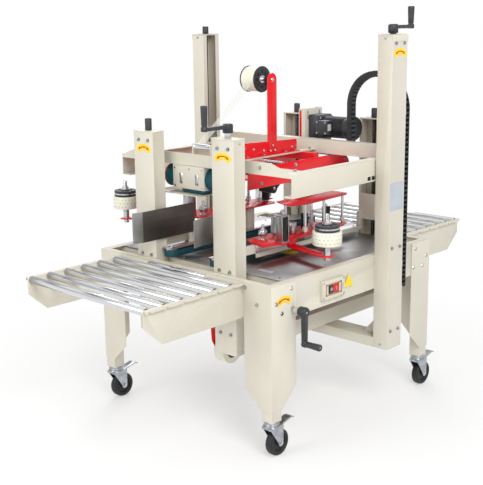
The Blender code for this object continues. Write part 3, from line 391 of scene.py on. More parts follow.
# A turned form: (radius, height) pairs from one end to the other, closed on the axis.
def turned(profile, at=(0, 0, 0), toward=(0, 0, 1), steps=32):
    work = bmesh.new()
    rings = []
    for radius, height in profile:
        if radius < 1e-6:
            rings.append([work.verts.new((0, 0, height))])
        else:
            rings.append([work.verts.new((radius * math.cos(math.tau * s / steps),
                    radius * math.sin(math.tau * s / steps), height)) for s in range(steps)])
    for first, second in zip(rings, rings[1:]):
        for s in range(steps):
            after = (s + 1) % steps
            corners = []
            for vert in (first[s % len(first)], first[after % len(first)], second[after % len(second)],
                         second[s % len(second)]):
                if vert not in corners:
                    corners.append(vert)
            if len(corners) > 2:
                work.faces.new(corners)
    for end in (rings[0], rings[-1]):
        if len(end) > 1:
            work.faces.new(end)
    bmesh.ops.transform(work, matrix=placed(at, toward), verts=work.verts)
    return meshFrom(work)


# A profile given in millimetres.
def mm(*pairs):
    return [(radius / 1000, height / 1000) for radius, height in pairs]


def bar(start, end, radius, edge=0.0006, steps=24):
    start, end = Vector(start), Vector(end)
    length = (end - start).length
    edge = min(edge, length / 3, radius / 3)
    return turned([(radius - edge, 0), (radius, edge), (radius, length - edge), (radius - edge, length)],
                  start, end - start, steps)


def boxForm(low, high, edge=0.0008, segments=2):
    work = bmesh.new()
    bmesh.ops.create_cube(work, size=1.0)
    low, high = Vector(low), Vector(high)
    for vert in work.verts:
        vert.co = [low[i] if vert.co[i] < 0 else high[i] for i in range(3)]
    mesh = meshFrom(work)
    return bevelled(mesh, edge, segments) if edge else mesh


# Rounds the corners of an outline.
def rounded(points, radius, steps=5):
    made = []
    for index, point in enumerate(points):
        here = Vector(point)
        before = (Vector(points[index - 1]) - here)
        after = (Vector(points[(index + 1) % len(points)]) - here)
        half = before.angle(after) / 2
        back = min(radius / math.tan(half), before.length * 0.49, after.length * 0.49)
        first, last = here + before.normalized() * back, here + after.normalized() * back
        for step in range(steps + 1):
            t = step / steps
            made.append(tuple(first * (1 - t) ** 2 + here * 2 * t * (1 - t) + last * t ** 2))
    return made


# A flat outline given thickness along an axis: "x" reads (y, z), "y" reads (x, z), "z" reads (x, y).
def plateForm(outline, axis, low, high, edge=0.0006):
    work = bmesh.new()
    place = {"x": lambda a, b, c: (c, a, b), "y": lambda a, b, c: (a, c, b), "z": lambda a, b,
             c: (a, b, c)}[axis]
    bottom = [work.verts.new(place(a, b, low)) for a, b in outline]
    top = [work.verts.new(place(a, b, high)) for a, b in outline]
    work.faces.new(bottom)
    work.faces.new(top)
    for index in range(len(outline)):
        after = (index + 1) % len(outline)
        work.faces.new((bottom[index], bottom[after], top[after], top[index]))
    mesh = meshFrom(work)
    return bevelled(mesh, edge, 2, 50) if edge else mesh


# A round wire or tube through points.
def wireForm(points, radius, sides=10):
    curve = bpy.data.curves.new("wire", "CURVE")
    curve.dimensions = "3D"
    curve.bevel_depth = radius
    curve.bevel_resolution = max(1, sides // 4)
    curve.use_fill_caps = True
    curve.resolution_u = 10
    spline = curve.splines.new("NURBS")
    spline.points.add(len(points) - 1)
    for point, place in zip(spline.points, points):
        point.co = (*place, 1)
    spline.order_u = 4
    spline.use_endpoint_u = True
    path = bpy.data.objects.new("wire", curve)
    bpy.context.scene.collection.objects.link(path)
    mesh = evaluated(path)
    work = bmesh.new()
    work.from_mesh(mesh)
    bpy.data.meshes.remove(mesh)
    bmesh.ops.remove_doubles(work, verts=work.verts, dist=1e-6)
    return meshFrom(work)


# ---- Geometry Nodes for what repeats
def newTree(name, sockets):
    tree = bpy.data.node_groups.new(name, "GeometryNodeTree")
    tree.interface.new_socket("Geometry", in_out="INPUT", socket_type="NodeSocketGeometry")
    for label, kind, value in sockets:
        made = tree.interface.new_socket(label, in_out="INPUT", socket_type="NodeSocket" + kind)
        if value is not None:
            made.default_value = value
    tree.interface.new_socket("Geometry", in_out="OUTPUT", socket_type="NodeSocketGeometry")
    return tree, addNode(tree, "NodeGroupInput").outputs


# Runs a tree over a mesh, with its inputs set by identifier, and gives back a plain mesh.
def grown(tree, mesh, **values):
    base = bpy.data.objects.new("base", mesh)
    bpy.context.scene.collection.objects.link(base)
    modifier = base.modifiers.new("pattern", "NODES")
    modifier.node_group = tree
    for item in tree.interface.items_tree:
        if item.in_out == "INPUT" and item.name in values:
            modifier[item.identifier] = values[item.name]
    return evaluated(base)


def instanceOn(tree, points, instance, material):
    facing = addNode(tree, "GeometryNodeInputNamedAttribute", {"Name": "facing"}, data_type="FLOAT_VECTOR")
    spin = addNode(tree, "FunctionNodeAlignRotationToVector", {"Vector": facing.outputs["Attribute"]},
                   axis="Z")
    copyOnto(tree, points, instance, spin.outputs["Rotation"], material)


def copyOnto(tree, points, instance, rotation, material):
    copies = addNode(tree, "GeometryNodeInstanceOnPoints", {"Points": points, "Instance": instance,
            "Rotation": rotation})
    solid = addNode(tree, "GeometryNodeRealizeInstances", {"Geometry": copies.outputs["Instances"]})
    painted = addNode(tree, "GeometryNodeSetMaterial", {"Geometry": solid.outputs["Geometry"],
            "Material": material})
    addNode(tree, "NodeGroupOutput", {"Geometry": painted.outputs["Geometry"]})


# A screw head with its drive recess, on a plain washer, standing on each point along its facing.
def makeScrewTree():
    tree, given = newTree("screwHeads", [("Sides", "Int", 20), ("Head", "Float", 0.005),
            ("Height", "Float", 0.004), ("Drive", "Float", 0.0025), ("Washer", "Float", 0.007),
            ("Finish", "Material", None)])
    head = addNode(tree, "GeometryNodeMeshCylinder", {"Vertices": given["Sides"], "Radius": given["Head"],
            "Depth": given["Height"]})
    drive = addNode(tree, "GeometryNodeMeshCylinder", {"Vertices": 6, "Radius": given["Drive"],
            "Depth": given["Height"]})
    lift = addNode(tree, "ShaderNodeCombineXYZ", {"Z": given["Height"]})
    half = addNode(tree, "ShaderNodeVectorMath", {0: lift.outputs["Vector"], "Scale": 0.55},
                   operation="SCALE")
    raisedDrive = addNode(tree, "GeometryNodeTransform", {"Geometry": drive.outputs["Mesh"],
            "Translation": half.outputs["Vector"]})
    cut = addNode(tree, "GeometryNodeMeshBoolean", {"Mesh 1": head.outputs["Mesh"]}, operation="DIFFERENCE")
    tree.links.new(raisedDrive.outputs["Geometry"], cut.inputs["Mesh 2"])
    raisedHead = addNode(tree, "GeometryNodeTransform", {"Geometry": cut.outputs["Mesh"],
            "Translation": half.outputs["Vector"]})
    washer = addNode(tree, "GeometryNodeMeshCylinder", {"Vertices": 20, "Radius": given["Washer"],
            "Depth": 0.0016})
    both = addNode(tree, "GeometryNodeJoinGeometry")
    tree.links.new(raisedHead.outputs["Geometry"], both.inputs["Geometry"])
    tree.links.new(washer.outputs["Mesh"], both.inputs["Geometry"])
    instanceOn(tree, given["Geometry"], both.outputs["Geometry"], given["Finish"])
    return tree


# A plain round or many-sided stud on each point, for pips, ribs and knurls.
def makeStudTree():
    tree, given = newTree("studs", [("Sides", "Int", 12), ("Radius", "Float", 0.002),
            ("Depth", "Float", 0.002), ("Finish", "Material", None)])
    stud = addNode(tree, "GeometryNodeMeshCylinder", {"Vertices": given["Sides"], "Radius": given["Radius"],
            "Depth": given["Depth"]})
    instanceOn(tree, given["Geometry"], stud.outputs["Mesh"], given["Finish"])
    return tree


# A block of three sizes on each point, its depth along the point's facing, for links, fins and teeth.
def makeBlockTree():
    tree, given = newTree("blocks", [("Size", "Vector", (0.01, 0.01, 0.01)), ("Finish", "Material", None)])
    block = addNode(tree, "GeometryNodeMeshCube", {"Size": given["Size"]})
    instanceOn(tree, given["Geometry"], block.outputs["Mesh"], given["Finish"])
    return tree


screwTree, studTree, blockTree = makeScrewTree(), makeStudTree(), makeBlockTree()
screwSizes = {
    "cap": {"Sides": 20, "Head": 0.0052, "Height": 0.005, "Drive": 0.0027, "Washer": 0.0076},
    "hex": {"Sides": 6, "Head": 0.006, "Height": 0.0042, "Drive": 0.0012, "Washer": 0.0078},
    "pan": {"Sides": 18, "Head": 0.004, "Height": 0.0021, "Drive": 0.0016, "Washer": 0.0044},
}
screwPlaces = {}


def turnAngles(count):
    return [math.tau * s / count for s in range(count)]


def pointsMesh(places):
    mesh = bpy.data.meshes.new("points")
    mesh.from_pydata([tuple(at) for at, facing in places], [], [])
    facings = mesh.attributes.new("facing", "FLOAT_VECTOR", "POINT")
    facings.data.foreach_set("vector", [v for at, facing in places for v in facing])
    return mesh


# Puts a tree's copies on the places and keeps them as one piece.
def scatter(tree, places, name, body, smooth=0, **values):
    keep(grown(tree, pointsMesh(places), **values), name, None, body, smooth=smooth)


def addScrews(body, size, facing, *points):
    screwPlaces.setdefault((body, size), []).extend((point, facing) for point in points)


def makeScrews(finishes):
    for (body, size), places in screwPlaces.items():
        keep(grown(screwTree, pointsMesh(places), Finish=finishes[size], **screwSizes[size]),
             f"{body}_{size}_screws", None, body, smooth=30)


def m(x, y, z):
    return (x, y + midY, z)  # a point given from the machine's middle line


# The two corners of a box on one side of the machine: y is a range of distances from the middle line.
def sideBox(sign, x, y, z):
    near, far = sorted((sign * y[0], sign * y[1]))
    return m(x[0], near, z[0]), m(x[1], far, z[1])


print("shaping tools ready")


# ---- frame, tables and columns
for node in ("bed_frame", "mast_near", "mast_far", "mast_base", "infeed_table", "outfeed_table",
             "leg_infeed_near", "leg_infeed_far", "leg_outfeed_near", "leg_outfeed_far", "side_frame_near",
             "side_frame_far"):
    softened(node, ivoryCoat, 0.0012)
softened("bed_plate", bedSheet, 0.0006)

screwRows = {"column": {"x": -0.4665, "spread": 0.026, "middle": 0.209, "heights": (1.093, 0.651, 0.4155),
                        "capX": -0.4375, "capZ": 1.112}, "mast": {"y": 0.5207, "across": (0.1285, 0.1805),
        "heights": (1.4415, 0.674, 0.343), "capY": 0.488, "capZ": 1.459},
        "leg": {"sideFace": ((0.389, 0.616), (0.442, 0.536), (0.378, 0.54), (0.47, 0.575)),
                "endFace": ((0.335, 0.62), (0.39, 0.565))},}


def screwColumns(plan):
    for side, sign in (("near", -1), ("far", 1)):
        frameBody = bodyOf["side_frame_" + side]
        for z in plan["heights"]:
            for end in (-1, 1):
                addScrews(frameBody, "cap", (end, 0, 0), *[m(-end * plan["x"],
                        sign * (plan["middle"] + across), z) for across in (-plan["spread"],
                        plan["spread"])])
        for end in (-1, 1):
            addScrews(frameBody, "pan", (0, sign, 0), m(end * -plan["capX"], sign * 0.2645, plan["capZ"]))


def screwMasts(plan):
    for sign in (-1, 1):
        for z in plan["heights"]:
            addScrews("machine_frame", "cap" if sign < 0 else "pan", (0, sign, 0),
                      *[m(x, sign * plan["y"], z) for x in plan["across"]])
        addScrews("machine_frame", "pan", (-1, 0, 0), m(0.106, sign * plan["capY"], plan["capZ"]))
        addScrews("machine_frame", "pan", (-1, 0, 0), m(0.108, sign * plan["capY"], 0.287))


def screwLegs(plan):
    for end in (-1, 1):
        for sign in (-1, 1):
            addScrews("machine_frame", "hex", (0, sign, 0), *[m(end * x, sign * 0.458, z)
                    for x, z in plan["sideFace"]])
            addScrews("machine_frame", "hex", (end, 0, 0), *[m(end * 0.495, sign * y, z)
                    for y, z in plan["endFace"]])


screwColumns(screwRows["column"])
screwMasts(screwRows["mast"])
screwLegs(screwRows["leg"])
addScrews("machine_frame", "pan", (0, 0, 1), *[m(x, sign * y, 0.64) for sign in (-1, 1)
        for x in (-0.385, -0.13, 0.13, 0.385) for y in (0.4, 0.09)])

# a thin lid over each mast's top
for sign in (-1, 1):
    keep(boxForm(m(0.1055, sign * 0.488 - 0.0348, 1.4715), m(0.2035, sign * 0.488 + 0.0348, 1.473), 0.0005),
         f"mast_lid_{'near' if sign < 0 else 'far'}", ivoryCoat, "machine_frame")
print("frame and its screws made")


# ---- rollers: chromed tube, black end bearings and a hexagon axle
rollerPlan = {"tableHalf": 0.3095, "noseHalf": 0.151, "wall": 0.0018, "inset": 0.0022, "axle": 0.0044}


def makeRoller(node, plan):
    low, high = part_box(node)
    middle = (low + high) / 2
    radius = (high.z - low.z) / 2
    half = plan["noseHalf"] if "nose" in node else plan["tableHalf"]
    hole = radius - plan["wall"]
    keep(turned([(0, -half + plan["inset"]), (hole, -half + plan["inset"]), (hole, -half),
                 (radius - 0.0005, -half), (radius, -half + 0.0006), (radius, half - 0.0006),
                 (radius - 0.0005, half), (hole, half), (hole, half - plan["inset"]),
                 (0, half - plan["inset"])], middle, (0, 1, 0), 40), node + "_tube", rollerChrome,
         bodyOf[node], node)
    bearings = [turned([(0.0046, 0), (hole - 0.0004, 0), (hole - 0.0008, 0.0016), (0.008, 0.0026),
                        (0.0046, 0.003)], middle + Vector((0, sign * (half - plan["inset"] + 0.0001), 0)),
                       (0, sign, 0), 24) for sign in (-1, 1)]
    keep(merged(*bearings), node + "_bearings", blackNylon, bodyOf[node])
    reach = (high.y - low.y) / 2
    keep(bar(middle - Vector((0, reach, 0)), middle + Vector((0, reach, 0)), plan["axle"], 0.0006, 6),
         node + "_axle", brightSteel, bodyOf[node], smooth=20)


for node in frame["nodes"]:
    if "_roller" in node:
        makeRoller(node, rollerPlan)
print("rollers made")


# ---- casters
casterPlan = {"rings": ((0.029, 0.1125, 0.1165), (0.031, 0.1195, 0.1235), (0.029, 0.127, 0.131)),
              "wheel": ((0.0056, 0.013), (0.0135, 0.014), (0.015, 0.0095), (0.032, 0.008), (0.035, 0.0135),
                        (0.037, 0.0146), (0.044, 0.0149), (0.048, 0.0128), (0.0497, 0.009), (0.05, 0.004))}


def makeCaster(place, plan):
    fork, wheel = "caster_fork_" + place, "caster_wheel_" + place
    softened(fork, zincPlate, 0.0009, 3)
    low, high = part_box(wheel)
    hub = (low + high) / 2
    profile = [(r, -y) for r, y in plan["wheel"]] + [(r, y) for r, y in reversed(plan["wheel"])]
    keep(turned(profile, hub, (0, 1, 0), 72), wheel + "_tyre", blackRubber, bodyOf[wheel], wheel)
    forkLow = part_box(fork)[0]
    swivel = Vector((forkLow.x + 0.03, hub.y, 0))
    rings = [turned([(0, bottom), (r - 0.0012, bottom), (r, bottom + 0.0015), (r, top - 0.0015),
                     (r - 0.0012, top), (0, top)], swivel, (0, 0, 1), 40)
             for r, bottom, top in plan["rings"]]
    keep(merged(*rings), fork + "_race", zincPlate, bodyOf[fork])
    for sign in (-1, 1):
        addScrews(bodyOf[fork], "hex", (0, sign, 0), hub + Vector((0, sign * 0.0206, 0)))


for end in ("infeed", "outfeed"):
    for side in ("near", "far"):
        makeCaster(f"{end}_{side}", casterPlan)
print("casters made")


# ---- screws and cranks
def threaded(low, high, radius, pitch, depth=0.0011):
    profile = [(0, low)]
    count = int((high - low) / pitch)
    for index in range(count):
        z = low + index * pitch
        profile += [(radius - depth, z), (radius, z + pitch * 0.35), (radius, z + pitch * 0.6),
                    (radius - depth, z + pitch * 0.95)]
    return profile + [(0, low + count * pitch)]


crankPlan = {"reach": 0.115, "hub": 0.0185, "tip": 0.0115, "arm": (0.0195, 0.0325), "pitch": 0.005}


def makeCrank(node, base, outward, arm, neck, gripLength, plan):
    body = bodyOf[node]
    base, outward, arm = Vector(base), Vector(outward), Vector(arm)
    side = outward.cross(arm)
    start = base + outward * neck
    turn = Matrix((arm, side, outward)).transposed().to_4x4()
    local = Matrix.Translation(start) @ turn
    reach, hub, tip = plan["reach"], plan["hub"], plan["tip"]
    outline = [(hub * 0.86 * math.cos(a), hub * 0.86 * math.sin(a))
               for a in [math.radians(60 + 240 * s / 16) for s in range(17)]]
    outline += [(reach + tip * math.cos(a), tip * math.sin(a))
                for a in [math.radians(-80 + 160 * s / 10) for s in range(11)]]
    armForm = plateForm(outline, "z", plan["arm"][0], plan["arm"][1], 0.0028)
    hubForm = turned([(0, 0.004), (hub - 0.002, 0.004), (hub, 0.0065), (hub + 0.0004, 0.03),
                      (hub - 0.0015, 0.0352), (hub - 0.006, 0.0366), (0.006, 0.0366), (0.0055, 0.034),
                      (0, 0.034)], steps=40)
    top = 0.032 + gripLength
    gripForm = turned([(0, 0.0185), (0.0105, 0.0185), (0.0125, 0.0205), (0.0125, 0.033), (0.01, 0.035),
                       (0.0095, 0.037), (0.0108, 0.04), (0.0112, 0.032 + gripLength * 0.45),
                       (0.0124, top - 0.008), (0.0124, top - 0.0025), (0.01, top), (0.004, top),
                       (0.0035, top - 0.003), (0, top - 0.003)], (reach, 0, 0), steps=32)
    form = merged(armForm, hubForm, gripForm)
    form.transform(local)
    keep(form, node + "_handle", blackNylon, body, node)
    keep(turned([(0, 0.0), (0.0112, 0.0), (0.0118, 0.001), (0.0118, neck + 0.004), (0, neck + 0.004)], base,
                outward, 32), node + "_neck", rollerChrome, body)
    addScrews(body, "pan", tuple(outward), tuple(local @ Vector((0, 0, 0.0341))),
              tuple(local @ Vector((reach, 0, top - 0.0032))))


screwPlan = {
    "mast": {"at": (0.1545, 0.488, 1.473), "length": 1.15, "radius": 0.009, "cap": 0.032},
    "column": {"at": (-0.4385, 0.209, 1.128), "length": 0.525, "radius": 0.008, "cap": 0.045},
    "width": {"at": (-0.385, 0.47, 0.538), "length": 0.895, "radius": 0.007},
}


def screwTop(name, sign):
    x, y, z = screwPlan[name]["at"]
    return m(x, sign * y, z)


def screwThread(name, sign, toward):
    plan = screwPlan[name]
    profile = threaded(0, plan["length"], plan["radius"], crankPlan["pitch"])
    return turned(profile, screwTop(name, sign), toward, 20)


for node, name, thread, outward, arm, neck, grip, toward, material in (("mast_crank", "mast",
        "mast_screw_near", (0, 0, 1), (1, 0, 0), 0.0, 0.068, (0, 0, -1), blackScrew),
        ("column_crank_near", "column", "column_screw_near", (0, 0, 1), (-1, 0, 0), 0.014, 0.075,
         (0, 0, -1), blackScrew), ("width_crank", "width", "width_screw", (0, -1, 0), (0, 0, -1), 0.018,
        0.065, (0, 1, 0), brightSteel)):
    makeCrank(node, screwTop(name, -1), outward, arm, neck, grip, crankPlan)
    keep(screwThread(name, -1, toward), thread + "_thread", material, bodyOf[node], smooth=60)
for name in ("mast", "column"):
    node, height = name + "_screw_far", screwPlan[name]["cap"]
    keep(screwThread(name, 1, (0, 0, -1)), node + "_thread", blackScrew, bodyOf[node], node, smooth=60)
    keep(turned([(0, 0.001), (0.0125, 0.001), (0.013, 0.003), (0.013, height - 0.003), (0.011, height),
                 (0.0052, height), (0.0048, height - 0.004), (0, height - 0.004)], screwTop(name, 1),
                steps=32), node + "_cap", blackNylon, bodyOf[node])
# the sleeves over the outfeed columns' screws
for side, sign in (("near", -1), ("far", 1)):
    keep(turned(mm((0, 0), (12.5, 0), (13, 2), (13, 36), (10.5, 40), (4.5, 40), (4.2, 36), (0, 36)),
                m(0.4385, sign * 0.209, 1.1281), steps=32), f"column_sleeve_outfeed_{side}", blackNylon,
         bodyOf["side_frame_" + side])
    keep(turned(threaded(0, 0.52, 0.008, crankPlan["pitch"]), m(0.4385, sign * 0.209, 1.128), (0, 0, -1),
                16), f"column_screw_outfeed_{side}", blackScrew, bodyOf["side_frame_" + side], smooth=60)
print("cranks and screws made")


# ---- side drives and heads
# A coil spring standing upright round a point.
def spiral(at, radius, wire, low, high, turns):
    steps = turns * 12
    points = [(at[0] + radius * math.cos(math.tau * s / 12), at[1] + radius * math.sin(math.tau * s / 12),
               low + (high - low) * s / steps) for s in range(steps + 1)]
    return wireForm(points, wire, 6)


# The cover, guides, pulleys and belt of a side drive.
drivePlan = {"near": {"sign": -1, "guide": (-0.545, -0.388), "sheet": guideSheet},
             "far": {"sign": 1, "guide": (-0.59, -0.268), "sheet": shadedGuideSheet},}


def makeSideDrive(side, plan):
    node, sign = "side_drive_" + side, plan["sign"]
    piece = softened(node, ivoryCoat, 0.0009)
    start, end = plan["guide"]
    # the far guide takes the darker copy as painted shade; its end past the table keeps the plain guide sheet
    paintWhere(piece, plan["sheet"], sideBox(sign, (start, end), (0.117, 0.154), (0.7175, 0.8385)))
    if side == "far":
        paintWhere(piece, guideSheet, (m(start, 0.117, 0.7175), m(-0.5445, 0.154, 0.8385)))
    paintWhere(piece, whiteSheet, sideBox(sign, (-0.445, 0.445), (0.095, 0.195), (0.676, 0.6815)))
    paintWhere(piece, brightSteel, sideBox(sign, (-0.445, -0.39), (0.095, 0.15), (0.65, 0.6765)),
               sideBox(sign, (0.39, 0.445), (0.095, 0.15), (0.65, 0.6765)))
    body = bodyOf[node]
    addScrews(body, "pan", (0, 0, 1), *[m(x, sign * 0.123, 0.6803) for x in (-0.4175, 0.4175)],
              *[m(x, sign * 0.178, 0.6803) for x in (-0.24, -0.08, 0.19, 0.345)])
    # bearing caps over the pulleys
    caps = [turned(mm((0, 0), (11.5, 0), (11.5, 3.5), (9.5, 5), (6, 5), (5.5, 3.5), (0, 3.5)),
                   m(x, sign * 0.1225, 0.6802), steps=24) for x in (-0.4175, 0.4175)]
    keep(merged(*caps), node + "_caps", brightSteel, body)
    softened("side_belt_" + side, tealBelt, 0.0006)
    # fine cogs along one long face of the belt, facing the middle line
    cogs = [(m(-0.4 + 0.0125 * index, sign * 0.0948, 0.66), (0, -sign, 0)) for index in range(65)]
    scatter(blockTree, cogs, "side_belt_ribs_" + side, bodyOf["side_belt_" + side],
            Size=(0.0022, 0.021, 0.001), Finish=tealBelt)


for side in drivePlan:
    makeSideDrive(side, drivePlan[side])
print("side drives made")


# ---- side tape heads
headPlan = {
    "lower": ((-0.268, 0.15), (-0.24, 0.11), (0.175, 0.11), (0.19, 0.125), (0.193, 0.184), (0.25, 0.187),
              (0.252, 0.213), (0.196, 0.236), (-0.09, 0.241), (-0.2, 0.275), (-0.3, 0.243)),
    "upper": ((-0.07, 0.11), (0.25, 0.11), (0.262, 0.122), (0.262, 0.205), (0.235, 0.222), (-0.03, 0.235),
              (-0.105, 0.203)),
    "plate": 0.004, "rise": 0.121, "armDrop": 0.025, "reelY": 0.447,
    "sides": {"near": (-1, 0.712, -0.175), "far": (1, 0.767, -0.365)},
    "posts": ((-0.05, 0.14), (-0.02, 0.215), (0.11, 0.14), (0.11, 0.205), (0.237, 0.2)),
    "rubber": ((0.03, 0.17, 0.014, 0.075), (0.175, 0.165, 0.017, 0.08)),
    "springs": ((0.075, 0.172), (-0.14, 0.205), (0.14, 0.185)),
    "front": (-0.205, 0.16), "frontRadius": 0.0158, "knurls": 26,
    "case": (-0.126, -0.084, 0.0045, 0.088), "caseDepth": (0.129, 0.171),
    "brush": {"count": 23, "start": -0.038, "step": 0.0022},
}


def mirrored(points, sign):
    return [(x, midY + sign * y) for x, y in points]


# A flat plate of the head with its corners rounded, from (x, distance from the middle) points.
def headPlate(points, sign, low, high, radius=0.006):
    return plateForm(rounded(mirrored(points, sign), radius, 4), "z", low, high)


def makeHeadPlates(node, sign, low, reel, plan, body):
    high = low + plan["rise"]
    keep(headPlate(plan["lower"], sign, low, low + plan["plate"]), node + "_lower_plate", redCoat, body, node)
    keep(headPlate(plan["upper"], sign, high, high + plan["plate"]), node + "_upper_plate", redCoat, body)
    reelX, reelY, armZ = reel[0], sign * (reel[1] - midY), low - plan["armDrop"]
    arm = headPlate(((-0.155, 0.235), (-0.1, 0.235), (reelX + 0.026, reelY - 0.01),
                     (reelX + 0.026, reelY + 0.02), (reelX - 0.022, reelY + 0.02),
                     (reelX - 0.022, reelY - 0.01)), sign, armZ, armZ + plan["plate"], 0.012)
    keep(arm, node + "_reel_arm", redCoat, body)
    start, end = Vector(m(-0.13, sign * 0.258, armZ + 0.0042)), Vector((reelX + 0.004,
            reel[1] - sign * 0.03, armZ + 0.0042))
    keep(bar(start, end, 0.0032, steps=12), node + "_arm_rib", redCoat, body)
    keep(boxForm(*sideBox(sign, (-0.15, -0.11), (0.232, 0.244), (armZ + 0.001, low + 0.0005))),
         node + "_arm_block", redCoat, body)
    keep(boxForm(*sideBox(sign, (0.02, 0.06), (0.125, 0.18), (0.6806, low))), node + "_foot", ivoryCoat,
         body)


def makeHeadPosts(node, sign, low, plan, body):
    high = low + plan["rise"]
    keep(merged(*[bar(m(x, sign * y, low + 0.004), m(x, sign * y, high), 0.006, steps=24)
                  for x, y in plan["posts"]]), node + "_posts", rollerChrome, body)
    bushes = [turned(mm((6.2, 0), (10, 0), (10, 16), (8.8, 18), (6.2, 18)), m(x, sign * y, low + 0.012),
                     steps=20) for x, y in plan["posts"]]
    keep(merged(*bushes), node + "_bushes", whiteNylon, body)
    addScrews(body, "pan", (0, 0, 1), *[m(x, sign * y, high + 0.0042) for x, y in plan["posts"]],
              *[m(x, sign * y, high + 0.0042) for x, y in ((0.03, 0.2), (0.2, 0.13))],
              *[m(x, sign * y, low + 0.0042) for x, y in ((-0.24, 0.235), (-0.15, 0.2), (-0.055, 0.18),
            (0.215, 0.205))])
    addScrews(body, "hex", (0, 0, -1), *[m(x, sign * y, low - 0.0003) for x, y in plan["posts"][:2]])
    keep(merged(*[spiral(m(x, sign * y, 0)[:2], 0.0062, 0.001, low + 0.006, low + 0.08, 12)
                  for x, y in plan["springs"]]), node + "_springs", brightSteel, body)


# The rollers that press the tape: a knurled chromed one in front and two rubber ones on chromed pins.
def makeHeadRollers(node, sign, low, plan, body):
    frontX, frontY = plan["front"]
    radius = plan["frontRadius"]
    keep(turned(mm((0, 0), (16, 0), (16, 2), (9.5, 2.5), (9.5, 12), (15, 13), (15.8, 14.5), (15.8, 33),
                   (15, 34.5), (11, 35), (11, 40), (6, 41), (6, 56), (5, 57), (0, 57)),
                m(frontX, sign * frontY, low + 0.004), steps=32), node + "_front_roller", rollerChrome,
         body)
    knurls = [(m(frontX + radius * math.cos(a), sign * frontY + radius * math.sin(a), low + 0.0277),
               (math.cos(a), math.sin(a), 0)) for a in turnAngles(plan["knurls"])]
    scatter(blockTree, knurls, node + "_front_roller_knurl", body, Size=(0.017, 0.0016, 0.0009),
            Finish=brightSteel)
    for index, (x, y, radius, height) in enumerate(plan["rubber"], 1):
        keep(turned([(0.0048, 0.009), (radius - 0.001, 0.009), (radius, 0.01), (radius, height - 0.006),
                     (radius - 0.001, height - 0.005), (0.0048, height - 0.005)], m(x, sign * y, low),
                    steps=40), f"{node}_rubber_roller_{index}", blackRubber, body)
        keep(turned([(0, 0.0042), (0.0085, 0.0042), (0.0085, 0.008), (0.0046, 0.0085),
                     (0.0046, height + 0.006), (0.0036, height + 0.007), (0, height + 0.007)],
                    m(x, sign * y, low), steps=24), f"{node}_roller_pin_{index}", rollerChrome, body)
    # the cutter's housing, a rounded case with two screws
    x0, x1, z0, z1 = plan["case"]
    outline = rounded([(x0, low + z0), (x1, low + z0), (x1, low + z1), (x0, low + z1)], 0.012, 6)
    case = plateForm(outline, "y", *sorted(midY + sign * y for y in plan["caseDepth"]), 0.003)
    keep(case, node + "_cutter_case", satinAluminium, body)
    addScrews(body, "pan", (0, sign, 0), *[m(x, sign * 0.1711, low + z)
            for x, z in ((-0.116, 0.016), (-0.094, 0.072))])
    block = boxForm(*sideBox(sign, (-0.078, -0.05), (0.175, 0.199), (low + 0.0042, low + 0.052)), 0.0025)
    keep(block, node + "_block", satinAluminium, body)
    lever = plateForm(rounded(mirrored([(-0.045, 0.126), (0.012, 0.122), (0.016, 0.134), (-0.042, 0.139)],
            sign), 0.004), "z", low + 0.034, low + 0.04)
    keep(lever, node + "_wiper_lever", blackNylon, body)
    brush = [(m(plan["brush"]["start"] + plan["brush"]["step"] * index, sign * 0.1205, low + 0.037),
              (0, -sign, 0)) for index in range(plan["brush"]["count"])]
    scatter(studTree, brush, node + "_brush", body, Sides=5, Radius=0.0008, Depth=0.016, Finish=blackRubber)


bracketPlan = {
    "x": (-0.215, -0.175), "inner": 0.232, "face": 0.2355, "outer": 0.2685, "cheek": 0.266,
    "tabs": (0.0045, 0.104), "tab": 0.0035, "cheeks": (-0.2135, -0.1765), "axis": (-0.195, 0.252),
    "knob": 0.011, "ribs": 20,
}


# A bent aluminium bracket that holds a black roller upright, with a knurled knob on top.
def makeHeadBracket(node, sign, low, plan, body):
    inner, face, outer = plan["inner"], plan["face"], plan["outer"]
    x, y = plan["axis"]
    web = boxForm(*sideBox(sign, plan["x"], (inner, face), (low + 0.0042, low + 0.108)), 0.0008)
    tabs = [boxForm(*sideBox(sign, plan["x"], (face, outer), (low + z, low + z + plan["tab"])), 0.0008)
            for z in plan["tabs"]]
    cheeks = [boxForm(*sideBox(sign, (at - 0.0015, at + 0.0015), (face, plan["cheek"]),
                               (low + 0.008, low + 0.104)), 0.0008) for at in plan["cheeks"]]
    keep(merged(web, *tabs, *cheeks), node + "_bracket", satinAluminium, body)
    keep(turned(mm((4, 0), (14.2, 0), (15.2, 1), (15.2, 88), (14.2, 89), (4, 89)),
                m(x, sign * y, low + 0.011), steps=40), node + "_bracket_roller", blackRubber, body)
    ends = [turned(mm((0, 0), (10, 0), (10, 2), (0, 2)), m(x, sign * y, low + z), steps=24)
            for z in (0.0088, 0.1002)]
    knob = turned(mm((0, 0), (5, 0), (5, 4), (10, 5), (11, 6.5), (11, 15), (9.8, 16.5), (4, 17), (4, 22),
                     (0, 22)), m(x, sign * y, low + 0.1078), steps=28)
    keep(merged(*ends, knob), node + "_knob", rollerChrome, body)
    ribs = [(m(x + plan["knob"] * math.cos(a), sign * y + plan["knob"] * math.sin(a), low + 0.1186),
             (math.cos(a), math.sin(a), 0)) for a in turnAngles(plan["ribs"])]
    scatter(blockTree, ribs, node + "_knob_ribs", body, Size=(0.008, 0.0014, 0.0009), Finish=brightSteel)


